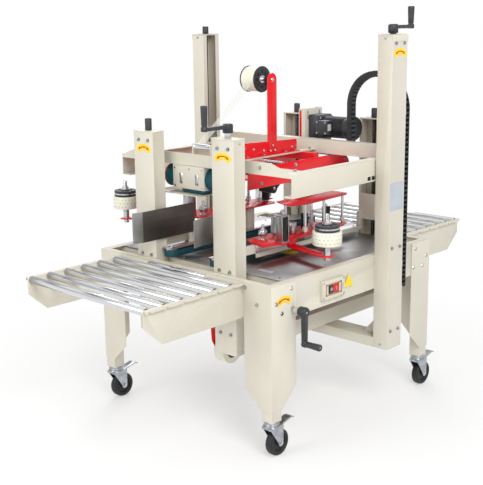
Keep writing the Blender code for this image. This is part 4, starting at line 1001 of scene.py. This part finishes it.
def makeSpindle(node, reel, low, body):
    x, y = reel[0], reel[1]
    keep(bar((x, y, low - 0.039), (x, y, low + 0.124), 0.0074), node + "_spindle", rollerChrome, body)
    keep(turned(mm((7.6, 0), (12.2, 0), (12.2, 40), (18, 40.5), (18, 42.4), (7.6, 42.4)),
                (x, y, low - 0.0209), steps=32), node + "_spindle_seat", brightSteel, body)
    nut = turned(mm((7.9, 0), (15, 0), (15, 4.5), (11.5, 8.5), (11.5, 11.5), (9.8, 13.5), (7.9, 13.5)),
                 (x, y, low + 0.099), steps=28)
    washer = turned(mm((7.9, 0), (19, 0), (19, 1.8), (7.9, 1.8)), (x, y, low + 0.0968), steps=28)
    keep(merged(nut, washer), node + "_spindle_nut", rollerChrome, body)
    keep(turned(threaded(0, 0.023, 0.0077, 0.002, 0.0004), (x, y, low + 0.1125), steps=18),
         node + "_spindle_thread", rollerChrome, body, smooth=60)
    keep(turned(mm((0, 0), (11, 0), (11, 6), (9, 7), (0, 7)), (x, y, low - 0.032), (0, 0, -1), 6),
         node + "_spindle_foot", brightSteel, body, smooth=20)


def makeSideHead(side, plan):
    sign, low, reelX = plan["sides"][side]
    node = "side_head_" + side
    body = bodyOf[node]
    reel = m(reelX, sign * plan["reelY"], 0)
    makeHeadPlates(node, sign, low, reel, plan, body)
    makeHeadPosts(node, sign, low, plan, body)
    makeHeadRollers(node, sign, low, plan, body)
    makeHeadBracket(node, sign, low, bracketPlan, body)
    makeSpindle(node, reel, low, body)


for side in headPlan["sides"]:
    makeSideHead(side, headPlan)
print("side heads made")


# ---- tape rolls
rollPlan = {"core": 0.039, "hole": 0.0092}


def rollMeasures(node):
    low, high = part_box(node)
    return low, high, (low + high) / 2, (high.x - low.x) / 2


# A side roll: wound film with pressed pips on its face, a cardboard core and the black hub above it.
def makeSideRoll(side, plan):
    node = "side_tape_roll_" + side
    low, high, centre, radius = rollMeasures(node)
    base = (centre.x, centre.y, low.z)
    tape = turned([(plan["core"], 0), (radius - 0.0008, 0), (radius, 0.001), (radius, 0.049),
                   (radius - 0.0008, 0.05), (plan["core"], 0.05)], base, steps=72)
    core = turned([(0.0335, 0.0002), (plan["core"] - 0.0001, 0.0002), (plan["core"] - 0.0001, 0.0502),
                   (0.0335, 0.0502)], base, steps=48)
    body = bodyOf[node]
    keep(tape, node + "_film", creamTape, body, node)
    keep(core, node + "_core", cardboard, body)
    height = high.z - low.z
    keep(turned([(plan["hole"], 0.0006), (0.033, 0.0006), (0.033, 0.05), (0.044, 0.05), (0.045, 0.0512),
                 (0.045, 0.056), (0.0432, 0.0575), (0.0432, 0.064), (0.045, 0.0655),
                 (0.045, height - 0.003), (0.043, height - 0.0008), (0.031, height - 0.0008),
                 (0.0295, height - 0.004), (0.02, height - 0.0045), (0.0185, height - 0.001),
                 (plan["hole"], height - 0.001)], base, steps=64), node + "_hub", blackNylon, body)
    keep(turned(mm((43.3, 58), (44.4, 58), (44.4, 63.5), (43.3, 63.5)), base, steps=64), node + "_band",
         brightSteel, body)
    notches = [(Vector(base) + Vector((0.0372 * math.cos(a), 0.0372 * math.sin(a), height - 0.001)),
                (0, 0, 1)) for a in turnAngles(12)]
    scatter(studTree, notches, node + "_hub_pips", body, smooth=40, Sides=12, Radius=0.003, Depth=0.0012,
            Finish=blackRubber)
    pips = [(Vector(base) + Vector(((radius + 0.00002) * math.cos(a), (radius + 0.00002) * math.sin(a),
            0.011 + 0.014 * row)), (math.cos(a), math.sin(a), 0)) for row in range(3)
            for a in [math.tau * (s + row * 0.5) / 22 for s in range(22)]]
    scatter(studTree, pips, node + "_marks", body, Sides=8, Radius=0.0019, Depth=0.0003, Finish=tapeMark)


def makeTopRoll(plan):
    node = "top_tape_roll"
    low, high, centre, radius = rollMeasures(node)
    body = bodyOf[node]
    half = (high.y - low.y) / 2
    base = (centre.x, low.y, centre.z)
    width = half * 2
    keep(turned([(plan["core"], 0.0036), (radius - 0.0035, 0.0036), (radius - 0.0028, 0.0044),
                 (radius - 0.0028, width - 0.0044), (radius - 0.0035, width - 0.0036),
                 (plan["core"], width - 0.0036)], base, (0, 1, 0), 72), node + "_film", creamTape, body,
         node)
    for place, start, toward in (("near", (centre.x, low.y, centre.z), (0, 1, 0)),
            ("far", (centre.x, high.y, centre.z), (0, -1, 0))):
        keep(turned([(plan["hole"], 0.0), (0.017, 0.0), (0.0182, 0.0012), (0.038, 0.0012), (0.0392, 0.0),
                     (radius - 0.001, 0.0), (radius, 0.0008), (radius, 0.0026), (radius - 0.001, 0.0033),
                     (plan["hole"], 0.0033)], start, toward, 64), f"{node}_flange_{place}", blackNylon,
             body)
        outward = -Vector(toward)
        # the flange's holes are flat near-black discs: painted shade, not holes through it
        hole_shades = [(Vector(start) - outward * 0.0012 + Vector((0.0285 * math.cos(a), 0,
                0.0285 * math.sin(a))), tuple(outward)) for a in turnAngles(8)]
        scatter(studTree, hole_shades, f"{node}_holes_{place}", body, smooth=30, Sides=14, Radius=0.0055,
                Depth=0.001, Finish=holeShadePaint)
        keep(turned([(plan["hole"], 0.0014), (0.0155, 0.0014), (0.0155, 0.0004), (0.014, -0.0016),
                     (0.011, -0.002), (plan["hole"], -0.002)], start, toward, 32), f"{node}_hub_{place}",
             rollerChrome, body)
    keep(turned([(0.0335, 0.0034), (plan["core"] - 0.0001, 0.0034), (plan["core"] - 0.0001, width - 0.0034),
                 (0.0335, width - 0.0034)], base, (0, 1, 0), 48), node + "_core", cardboard, body)


def makeBottomRoll(plan):
    node = "bottom_tape_roll"
    low, high, centre, radius = rollMeasures(node)
    width = high.y - low.y
    base = (centre.x, low.y, centre.z)
    keep(turned([(plan["core"], 0), (radius - 0.0008, 0), (radius, 0.001), (radius, width - 0.001),
                 (radius - 0.0008, width), (plan["core"], width)], base, (0, 1, 0), 72), node + "_film",
         creamTape, bodyOf[node], node)
    keep(turned([(plan["hole"], -0.0006), (0.03, -0.0006), (0.033, 0.001), (plan["core"] - 0.0001, 0.001),
                 (plan["core"] - 0.0001, width - 0.001), (0.033, width - 0.001), (0.03, width + 0.0006),
                 (plan["hole"], width + 0.0006)], base, (0, 1, 0), 48), node + "_hub", blackNylon,
         bodyOf[node])


for side in ("near", "far"):
    makeSideRoll(side, rollPlan)
makeTopRoll(rollPlan)
makeBottomRoll(rollPlan)
print("tape rolls made")


# ---- top carriage, head and reel
carriagePlan = {"beam": 0.448, "slotPlate": (0.058, 0.14, 0.93, 0.955), "slots": (0.073, 0.099, 0.125),
                "slotZ": 0.9425, "strip": ((0.236, 0.024, 1.0165), (0.247, 0.0262, 1.16)),
                "guide": ((-0.373, -0.0505, 1.059), (-0.3465, 0.0385, 1.0835)),}


def makeCarriage(plan):
    piece = softened("top_carriage", ivoryCoat, 0.001)
    paintWhere(piece, rollerChrome, (m(*plan["guide"][0]), m(*plan["guide"][1])))
    body = bodyOf["top_carriage"]
    for sign in (-1, 1):
        face, side = sign * plan["beam"], "near" if sign < 0 else "far"
        x0, x1, z0, z1 = plan["slotPlate"]
        plate = boxForm(m(x0, min(face, face + sign * 0.0012), z0),
                        m(x1, max(face, face + sign * 0.0012), z1), 0.0003)
        keep(plate, "beam_slot_plate_" + side, ivoryCoat, body)
        # the slots are flat near-black pads on the plate: painted shade, not cut openings
        slots = [(m(x, face + sign * 0.0014, plan["slotZ"]), (0, sign, 0)) for x in plan["slots"]]
        scatter(blockTree, slots, "beam_slot_shades_" + side, body, Size=(0.019, 0.015, 0.001), Finish=holeShadePaint)
        addScrews(body, "cap", (0, sign, 0), m(0.228, face, 0.955), m(0.228, face, 0.985))
    addScrews(body, "cap", (0, 0, 1), *[m(-0.3, y, 1.0123) for y in (-0.4, 0.4)],
              *[m(x, sign * 0.07, 1.0158) for sign in (-1, 1) for x in (-0.318, 0.185)])
    addScrews(body, "hex", (-1, 0, 0), *[m(-0.3736, y, 1.024) for y in (-0.3, 0.3)])
    strip = boxForm(*[m(*corner) for corner in plan["strip"]], 0.0004)
    keep(strip, "stand_edge_strip", redCoat, body)
    # the stand's slots are flat near-black pads as well: painted shade
    slots = [(m(x, 0.0218, z), (0, -1, 0)) for x in (0.286, 0.362) for z in (1.128, 1.148)]
    scatter(blockTree, slots, "stand_slot_shades", body, Size=(0.004, 0.015, 0.001), Finish=holeShadePaint)


topHeadPlan = {"side": 0.1466, "rods": ((-0.252, 0.978, 0.0064), (0.0, 0.978, 0.0064),
        (0.32, 0.978, 0.0064), (0.09, 0.938, 0.0074), (0.18, 0.938, 0.0074)),
        "bolts": ((-0.252, 0.978), (0.0, 0.978), (0.32, 0.965), (0.09, 0.938), (0.18, 0.938), (-0.2, 0.93)),
        "spring": {"x": (-0.235, -0.015), "y": (0.06, -0.06), "z": 0.955, "radius": 0.0055, "steps": 120,
                   "perTurn": 8}, "tipIn": 0.02, "tipHalf": 0.0205,}


def makeTopHead(plan):
    piece = softened("top_head", redCoat, 0.001)
    for x, z, radius in plan["rods"]:
        paintWhere(piece, rollerChrome, (m(x - radius, -plan["side"], z - radius),
                m(x + radius, plan["side"], z + radius)))
    body = bodyOf["top_head"]
    for sign in (-1, 1):
        addScrews(body, "cap", (0, sign, 0), *[m(x, sign * 0.1502, z) for x, z in plan["bolts"]])
    coil = plan["spring"]
    x0, x1 = coil["x"]
    springs = []
    for y in coil["y"]:
        angles = [math.tau * s / coil["perTurn"] for s in range(coil["steps"] + 1)]
        points = [(x0 + (x1 - x0) * s / coil["steps"], midY + y + coil["radius"] * math.sin(a),
                   coil["z"] + coil["radius"] * math.cos(a)) for s, a in enumerate(angles)]
        springs.append(wireForm(points, 0.0009, 6))
    keep(merged(*springs), "top_head_springs", brightSteel, body)
    bosses = [turned(mm((6.8, 0), (12, 0), (12, 20), (10, 22), (6.8, 22)), m(x, sign * 0.1465, z),
                     (0, -sign, 0), 20) for sign in (-1, 1) for x, z, radius in plan["rods"][:3]]
    keep(merged(*bosses), "top_head_bosses", blackNylon, body)
    for name in ("front", "rear"):
        arm = softened("top_press_arm_" + name, blackNylon, 0.0006)
        low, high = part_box("top_press_arm_" + name)
        tip = low.x + plan["tipIn"] if name == "front" else high.x - plan["tipIn"]
        paintWhere(arm, blackRubber, (m(tip - plan["tipHalf"], -0.0318, 0.849),
                m(tip + plan["tipHalf"], 0.0318, 0.891)))
        pins = [turned(mm((0, 0), (7, 0), (7, 0.8), (4.5, 1.4), (0, 1.4)), m(tip, sign * 0.0349, 0.87),
                       (0, sign, 0), 20) for sign in (-1, 1)]
        keep(merged(*pins), f"top_press_arm_{name}_pins", brightSteel, bodyOf["top_press_arm_" + name])


reelPlan = {
    "at": (-0.0415, 1.305), "axle": 0.0086, "boss": 0.0135, "rib": (1.105, 1.255),
    "screws": ((-0.196, 1.054), (-0.148, 1.046), (-0.09, 1.036), (0.08, 1.034)),
    "feet": ((-0.055, 1.032), (-0.028, 1.032), (-0.0415, 1.052)), "bolts": (-0.19, -0.1, 0.03, 0.09),
}


def makeReelArm(plan):
    piece = softened("top_reel_arm", redCoat, 0.001)
    x, z = plan["at"]
    axle, boss = plan["axle"], plan["boss"]
    paintWhere(piece, rollerChrome, (m(x - axle, -0.0398, z - axle), m(x + axle, 0.0665, z + axle)))
    paintWhere(piece, blackNylon, (m(x - boss, -0.06, z - boss), m(x + boss, -0.0395, z + boss)))
    body = bodyOf["top_reel_arm"]
    keep(bar(*[m(x, -0.0687, height) for height in plan["rib"]], 0.0032, steps=14), "top_reel_arm_rib",
         redCoat, body)
    addScrews(body, "hex", (0, -1, 0), m(x, -0.0687, z))
    addScrews(body, "pan", (0, -1, 0), *[m(a, -0.0641, b) for a, b in plan["screws"]],
              *[m(a, -0.0687, b) for a, b in plan["feet"]])
    addScrews(body, "hex", (0, 0, 1), *[m(a, -0.073, 1.019) for a in plan["bolts"]])
    keep(turned(mm((0, 0), (10.2, 0), (10.2, 4.8), (8.5, 6), (0, 6)), m(x, 0.0592, z), (0, 1, 0), 6),
         "top_reel_nut", rollerChrome, body, smooth=20)


# the film that runs from the top roll down to the guide roller
filmPlan = {"start": (-0.0875, 1.29), "end": (-0.3545, 1.0815), "steps": 14, "sag": 0.006, "twist": 0.003,
            "edges": ((-0.004, -1), (0.037, 1)), "thick": 0.0002}


def makeFilm(plan):
    start, end, steps = Vector(plan["start"]), Vector(plan["end"]), plan["steps"]
    work = bmesh.new()
    rows = []
    for index in range(steps + 1):
        t = index / steps
        at = start.lerp(end, t) - Vector((0, plan["sag"] * math.sin(math.pi * t)))
        twist = plan["twist"] * math.sin(math.pi * t)
        rows.append([work.verts.new(m(at.x + side * twist, y, at.y + d)) for y, side in plan["edges"]
                     for d in (0.0, plan["thick"])])
    for first, second in zip(rows, rows[1:]):
        for a, b in ((0, 1), (1, 3), (3, 2), (2, 0)):
            work.faces.new((first[a], first[b], second[b], second[a]))
    for row in (rows[0], rows[-1]):
        work.faces.new((row[0], row[1], row[3], row[2]))
    keep(meshFrom(work), "top_tape_strip", clearFilm, "top_carriage")


makeCarriage(carriagePlan)
makeTopHead(topHeadPlan)
makeReelArm(reelPlan)
makeFilm(filmPlan)
print("top carriage, head and reel made")


# ---- motors
motorPlan = {"outfeed": (0.335, 1.09), "infeed": (-0.328, 0.948)}  # x and z of each shaft


def makeOutfeedMotor(x, z):
    body = "top_carriage"
    ribs = [(0, 0), (0.0425, 0)]
    for index in range(17):
        at = 0.006 + index * 0.0066
        ribs += [(0.0418, at), (0.0448, at + 0.0006), (0.0448, at + 0.003), (0.0418, at + 0.0036)]
    ribs += [(0.044, 0.122), (0.044, 0.1275), (0, 0.1275)]
    keep(turned(ribs, m(x, -0.029, z), (0, -1, 0), 64), "outfeed_motor_body", blackEnamel, body,
         "outfeed_gear_motor")
    hood = mm((0, 0), (48, 0), (49, 1.2), (49, 29), (46.5, 32.5), (40, 33.8), (39, 32.5), (34, 32.5),
              (33, 33.8), (27, 33.8), (26, 32.5), (21, 32.5), (20, 33.8), (14, 33.8), (13, 32.5), (0, 32.5))
    keep(turned(hood, m(x, -0.1562, z), (0, -1, 0), 72), "outfeed_motor_fan_hood", blackEnamel, body)
    # the fan hood's slots are flat near-black discs: painted shade, not openings
    slots = [(Vector(m(x + r * math.cos(a), -0.1889, z + r * math.sin(a))), (0, -1, 0))
             for r in (0.0235, 0.0365) for a in turnAngles(18)]
    scatter(studTree, slots, "outfeed_motor_fan_slot_shades", body, smooth=40, Sides=8, Radius=0.0022,
            Depth=0.001, Finish=holeShadePaint)
    box = boxForm(m(x - 0.0458, -0.0298, 1.0146), m(x + 0.0458, 0.0214, 1.1395), 0.003, 3)
    keep(box, "outfeed_gear_box", blackEnamel, body)
    flange = plateForm(rounded([(x - 0.0455, z - 0.0455), (x + 0.0455, z - 0.0455),
                                (x + 0.0455, z + 0.0455), (x - 0.0455, z + 0.0455)], 0.01), "y",
                       midY - 0.0375, midY - 0.0302)
    keep(flange, "outfeed_motor_flange", blackEnamel, body)
    addScrews(body, "cap", (0, -1, 0), *[m(x + a * 0.037, -0.0377, z + b * 0.037) for a in (-1, 1)
            for b in (-1, 1)])
    addScrews(body, "pan", (0, -1, 0), *[m(x + 0.0435 * math.cos(a), -0.188, z + 0.0435 * math.sin(a))
            for a in (0.7, 2.4, 3.9, 5.5)])
    junction = boxForm(m(x - 0.0778, -0.0998, z - 0.0258), m(x - 0.04, -0.0422, z + 0.0318), 0.0026, 3)
    keep(junction, "outfeed_motor_junction_box", blackEnamel, body)
    keep(boxForm(m(x - 0.07, -0.1002, z - 0.01), m(x - 0.048, -0.0999, z + 0.018), 0),
         "outfeed_motor_plate", whiteNylon, body)
    addScrews(body, "pan", (-1, 0, 0), *[m(x - 0.0766, y, z + h) for y in (-0.093, -0.049)
            for h in (-0.019, 0.025)])
    keep(turned(mm((0, 0), (8, 0), (8, 8), (6.2, 10), (6.2, 16), (0, 16)), m(x - 0.06, -0.06, z - 0.0255),
                (0, 0, -1), 12), "outfeed_motor_gland", blackNylon, body)
    loop = wireForm([m(x - 0.06, -0.06, z - 0.036), m(x - 0.061, -0.06, z - 0.05),
                     m(x - 0.068, -0.062, z - 0.063), m(x - 0.076, -0.08, z - 0.0675),
                     m(x - 0.074, -0.11, z - 0.066), m(x - 0.07, -0.15, z - 0.058),
                     m(x - 0.071, -0.185, z - 0.052), m(0.262, -0.215, 1.048)], 0.0038, 12)
    keep(loop, "outfeed_motor_lead", blackRubber, body)
    label = boxForm(m(x + 0.0455, -0.02, 1.045), m(x + 0.0459, 0.012, 1.1), 0)
    keep(label, "outfeed_gear_box_plate", labelGrey, body)


def makeInfeedMotor(x, z):
    body = "top_carriage"
    drum = [(0, 0), (0.038, 0), (0.0405, 0.0015), (0.0405, 0.006)]
    for index in range(30):
        at = 0.007 + index * 0.008
        drum += [(0.0415, at), (0.0444, at + 0.0008), (0.0444, at + 0.0042), (0.0415, at + 0.005)]
    drum += [(0.0405, 0.2465), (0.038, 0.2478), (0, 0.2478)]
    keep(turned(drum, m(x, -0.0479, z), (0, 1, 0), 64), "infeed_motor_drum", tealEnamel, body,
         "infeed_gear_motor")
    keep(turned(mm((30, 0), (44.5, 0), (44.5, 6), (30, 6)), m(x, 0.1935, z), (0, 1, 0), 64),
         "infeed_motor_rim", redCoat, body)
    keep(boxForm(m(-0.3738, -0.0198, 0.9082), m(-0.2982, 0.1498, 0.9968), 0.0016, 3),
         "infeed_motor_housing", ivoryCoat, body)
    keep(boxForm(m(-0.3518, 0.0102, 0.8884), m(-0.3022, 0.1198, 0.909), 0.001), "infeed_motor_foot",
         tealEnamel, body)
    for y in (0.02, 0.105):
        latch = boxForm(m(-0.3744, y - 0.009, 0.926), m(-0.3732, y + 0.009, 0.966), 0.0004)
        keep(latch, f"infeed_motor_latch_{'near' if y < 0.05 else 'far'}", brightSteel, body)
    addScrews(body, "pan", (-1, 0, 0), *[m(-0.3725, y, 0.985) for y in (-0.008, 0.06, 0.138)],
              *[m(-0.3725, y, 0.917) for y in (-0.008, 0.138)])


makeOutfeedMotor(*motorPlan["outfeed"])
makeInfeedMotor(*motorPlan["infeed"])
print("motors made")


# ---- cable chain: links along its path, worked from the moving end, the arch and the mast
chainPlan = {"moving": (0.262, -0.222), "fixed": (0.2225, -0.503), "start": 1.044, "shoulder": 1.195,
             "rise": 0.127, "end": 0.5, "pitch": 0.0185}


def chainPath(plan):
    moving, fixed = Vector(plan["moving"]), Vector(plan["fixed"])
    middle, half = (moving + fixed) / 2, (moving - fixed) / 2
    points = [(*moving, plan["start"] + 0.002)]
    for step in range(41):
        angle = math.pi * step / 40
        points.append((*(middle + half * math.cos(angle)), plan["shoulder"] + plan["rise"] * math.sin(angle)))
    points.append((*fixed, plan["end"] + 0.002))
    return [m(*point) for point in points]


def makeLinkTree():
    tree, given = newTree("chainLinks", [("Pitch", "Float", 0.0185), ("Across", "Vector", (1, 0, 0)),
            ("Finish", "Material", None)])
    curve = addNode(tree, "GeometryNodeMeshToCurve", {"Mesh": given["Geometry"]})
    spaced = addNode(tree, "GeometryNodeResampleCurve", {"Curve": curve.outputs["Curve"],
            "Length": given["Pitch"]}, mode="LENGTH")
    run = addNode(tree, "GeometryNodeInputTangent")
    upright = addNode(tree, "FunctionNodeAlignRotationToVector", {"Vector": run.outputs["Tangent"]}, axis="Z")
    turn = addNode(tree, "FunctionNodeAlignRotationToVector", {"Rotation": upright.outputs["Rotation"],
            "Vector": given["Across"]}, axis="X", pivot_axis="Z")
    parts = addNode(tree, "GeometryNodeJoinGeometry")
    for size, at in (((0.0042, 0.0215, 0.0212), (-0.0122, 0, 0)), ((0.0042, 0.0215, 0.0212), (0.0122, 0, 0)),
                     ((0.0204, 0.003, 0.0112), (0, 0.0104, 0)), ((0.0204, 0.003, 0.007), (0, -0.0104, 0))):
        block = addNode(tree, "GeometryNodeMeshCube", {"Size": size})
        moved = addNode(tree, "GeometryNodeTransform", {"Geometry": block.outputs["Mesh"], "Translation": at})
        tree.links.new(moved.outputs["Geometry"], parts.inputs["Geometry"])
    for side in (-1, 1):
        pin = addNode(tree, "GeometryNodeMeshCylinder", {"Vertices": 12, "Radius": 0.0062, "Depth": 0.0014})
        moved = addNode(tree, "GeometryNodeTransform", {"Geometry": pin.outputs["Mesh"],
                "Translation": (side * 0.0147, 0, 0.0092), "Rotation": (0, math.radians(90), 0)})
        tree.links.new(moved.outputs["Geometry"], parts.inputs["Geometry"])
    copyOnto(tree, spaced.outputs["Curve"], parts.outputs["Geometry"], turn.outputs["Rotation"],
             given["Finish"])
    return tree


def makeChain(plan):
    points = chainPath(plan)
    points[0] = (points[0][0], points[0][1], points[0][2] + 0.01)
    points[-1] = (points[-1][0], points[-1][1], points[-1][2] + 0.012)
    line = bpy.data.meshes.new("chainLine")
    line.from_pydata(points, [(i, i + 1) for i in range(len(points) - 1)], [])
    run = Vector(plan["fixed"]) - Vector(plan["moving"])
    across = Vector((run.y, -run.x, 0)).normalized()
    links = grown(makeLinkTree(), line, Pitch=plan["pitch"], Across=tuple(across), Finish=chainNylon)
    keep(links, "cable_chain_links", None, bodyOf["cable_chain"], "cable_chain", smooth=30)
    lead = [Vector(point) for point in points]
    keep(wireForm(lead[:1] + lead[1:-1:3] + lead[-1:], 0.0042, 10), "cable_chain_leads", blackRubber,
         bodyOf["cable_chain"])
    clamps = [boxForm(m(0.2015, -0.5195, z - 0.012), m(0.205, -0.486, z + 0.012), 0.0006)
              for z in (0.6, 1.186)]
    keep(merged(*clamps), "cable_chain_clamps", ivoryCoat, "machine_frame")
    for z in (0.6, 1.186):
        addScrews("machine_frame", "pan", (1, 0, 0), m(0.2049, -0.513, z), m(0.2049, -0.492, z))


makeChain(chainPlan)
print("cable chain made")


# ---- stickers, plates and the switch
stickerPlan = {"outer": 0.06, "inner": 0.036, "arrow": 0.0022, "thick": 0.0004, "spread": 47, "line": 25}


def sector(centre, inner, outer, half, steps=16):
    sweep = [math.radians(90 - half + 2 * half * s / steps) for s in range(steps + 1)]
    edge = [(centre[0] + outer * math.cos(a), centre[1] + outer * math.sin(a)) for a in sweep]
    return edge + [(centre[0] + inner * math.cos(a), centre[1] + inner * math.sin(a))
                   for a in reversed(sweep)]


# A yellow arc with a red arrow at each end of its line: the way the crank turns.
def arcSticker(name, axis, face, sign, at, body, plan):
    outer, inner = plan["outer"], plan["inner"]
    centre = (at[0], at[1] - outer)
    thick = plan["thick"]
    low, high = sorted((face, face + sign * thick))
    keep(plateForm(sector(centre, inner, outer, plan["spread"]), axis, low, high, 0), name, stickerYellow,
         body)
    middle, wide = (outer + inner) / 2, plan["arrow"]
    low, high = sorted((face + sign * thick, face + sign * 2 * thick))
    forms = [plateForm(sector(centre, middle - wide, middle + wide, plan["line"]), axis, low, high, 0)]
    for way in (-1, 1):
        corners = []
        for radius, angle in ((middle - wide * 2.6, 24), (middle, 39), (middle + wide * 2.6, 24)):
            a = math.radians(90 - way * angle)
            corners.append((centre[0] + radius * math.cos(a), centre[1] + radius * math.sin(a)))
        forms.append(plateForm(corners, axis, low, high, 0))
    keep(merged(*forms), name + "_arrow", stickerRed, body)


for side, sign in (("near", -1), ("far", 1)):
    arcSticker(f"column_sticker_{side}", "x", -0.4665, -1, (midY + sign * 0.209, 1.079),
               bodyOf["side_frame_" + side], stickerPlan)
arcSticker("mast_sticker", "y", midY - 0.521, -1, (0.1545, 1.424), "machine_frame", stickerPlan)
arcSticker("leg_sticker", "y", midY - 0.458, -1, (-0.43, 0.597), "machine_frame", stickerPlan)


for name, material, low, high in (
    ("mast_label", labelGrey, m(0.108, -0.5215, 0.82), m(0.196, -0.5211, 0.926)),
    ("bed_label", labelGrey, m(-0.348, -0.327, 0.6402), m(-0.327, -0.258, 0.6405)),
    ("bed_sticker", stickerYellow, m(-0.09, -0.195, 0.6402), m(-0.03, -0.135, 0.6405)),
    ("switch_label", labelGrey, m(-0.123, -0.4691, 0.556), m(-0.101, -0.4687, 0.58))):
    keep(boxForm(low, high, 0), name, material, "machine_frame")
triangle = rounded([(-0.09, 0.553), (-0.03, 0.553), (-0.06, 0.603)], 0.004)
keep(plateForm(triangle, "y", midY - 0.4586, midY - 0.4582, 0), "bed_side_sticker", stickerYellow,
     "machine_frame")


switchPlan = {
    "frame": ((-0.2085, -0.115, 0.547, 0.552), (-0.2085, -0.115, 0.586, 0.591),
              (-0.2085, -0.203, 0.547, 0.591), (-0.1205, -0.115, 0.547, 0.591)),
    "screwX": (-0.22, -0.102), "screwZ": (0.5395, 0.5985),
    "black": ((-0.189, -0.5, 0.55), (-0.1621, 0.5, 0.59)),
    "off": (-0.1755, 0.569), "offRing": (0.0042, 0.0056),
}


def makeSwitch(plan):
    softened("switch_box", ivoryCoat, 0.0014)
    body = bodyOf["switch_box"]
    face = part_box("switch_box")[0].y
    frameOutline = [boxForm((x0, face - 0.001, z0), (x1, face + 0.0002, z1), 0.0004)
                    for x0, x1, z0, z1 in plan["frame"]]
    keep(merged(*frameOutline), "switch_frame", cardboard, body)
    addScrews(body, "pan", (0, -1, 0), *[(x, face, z) for x in plan["screwX"] for z in plan["screwZ"]])
    rocker = softened("power_rocker", switchRed, 0.0008)
    paintWhere(rocker, blackNylon, plan["black"])
    body = bodyOf["power_rocker"]
    on = boxForm((-0.1492, face - 0.0027, 0.562), (-0.1478, face + 0.0006, 0.576), 0)
    keep(on, "rocker_on_mark", whiteNylon, body)
    ring = plateForm(sector(plan["off"], *plan["offRing"], 179.9, 28), "y", face - 0.001, face + 0.0008, 0)
    keep(ring, "rocker_off_mark", whiteNylon, body)


makeSwitch(switchPlan)
softened("bottom_head", redCoat, 0.0008)
print("stickers, switch and bottom head made")
makeScrews({"cap": zincPlate, "hex": brightSteel, "pan": brightSteel})
print("screws made")
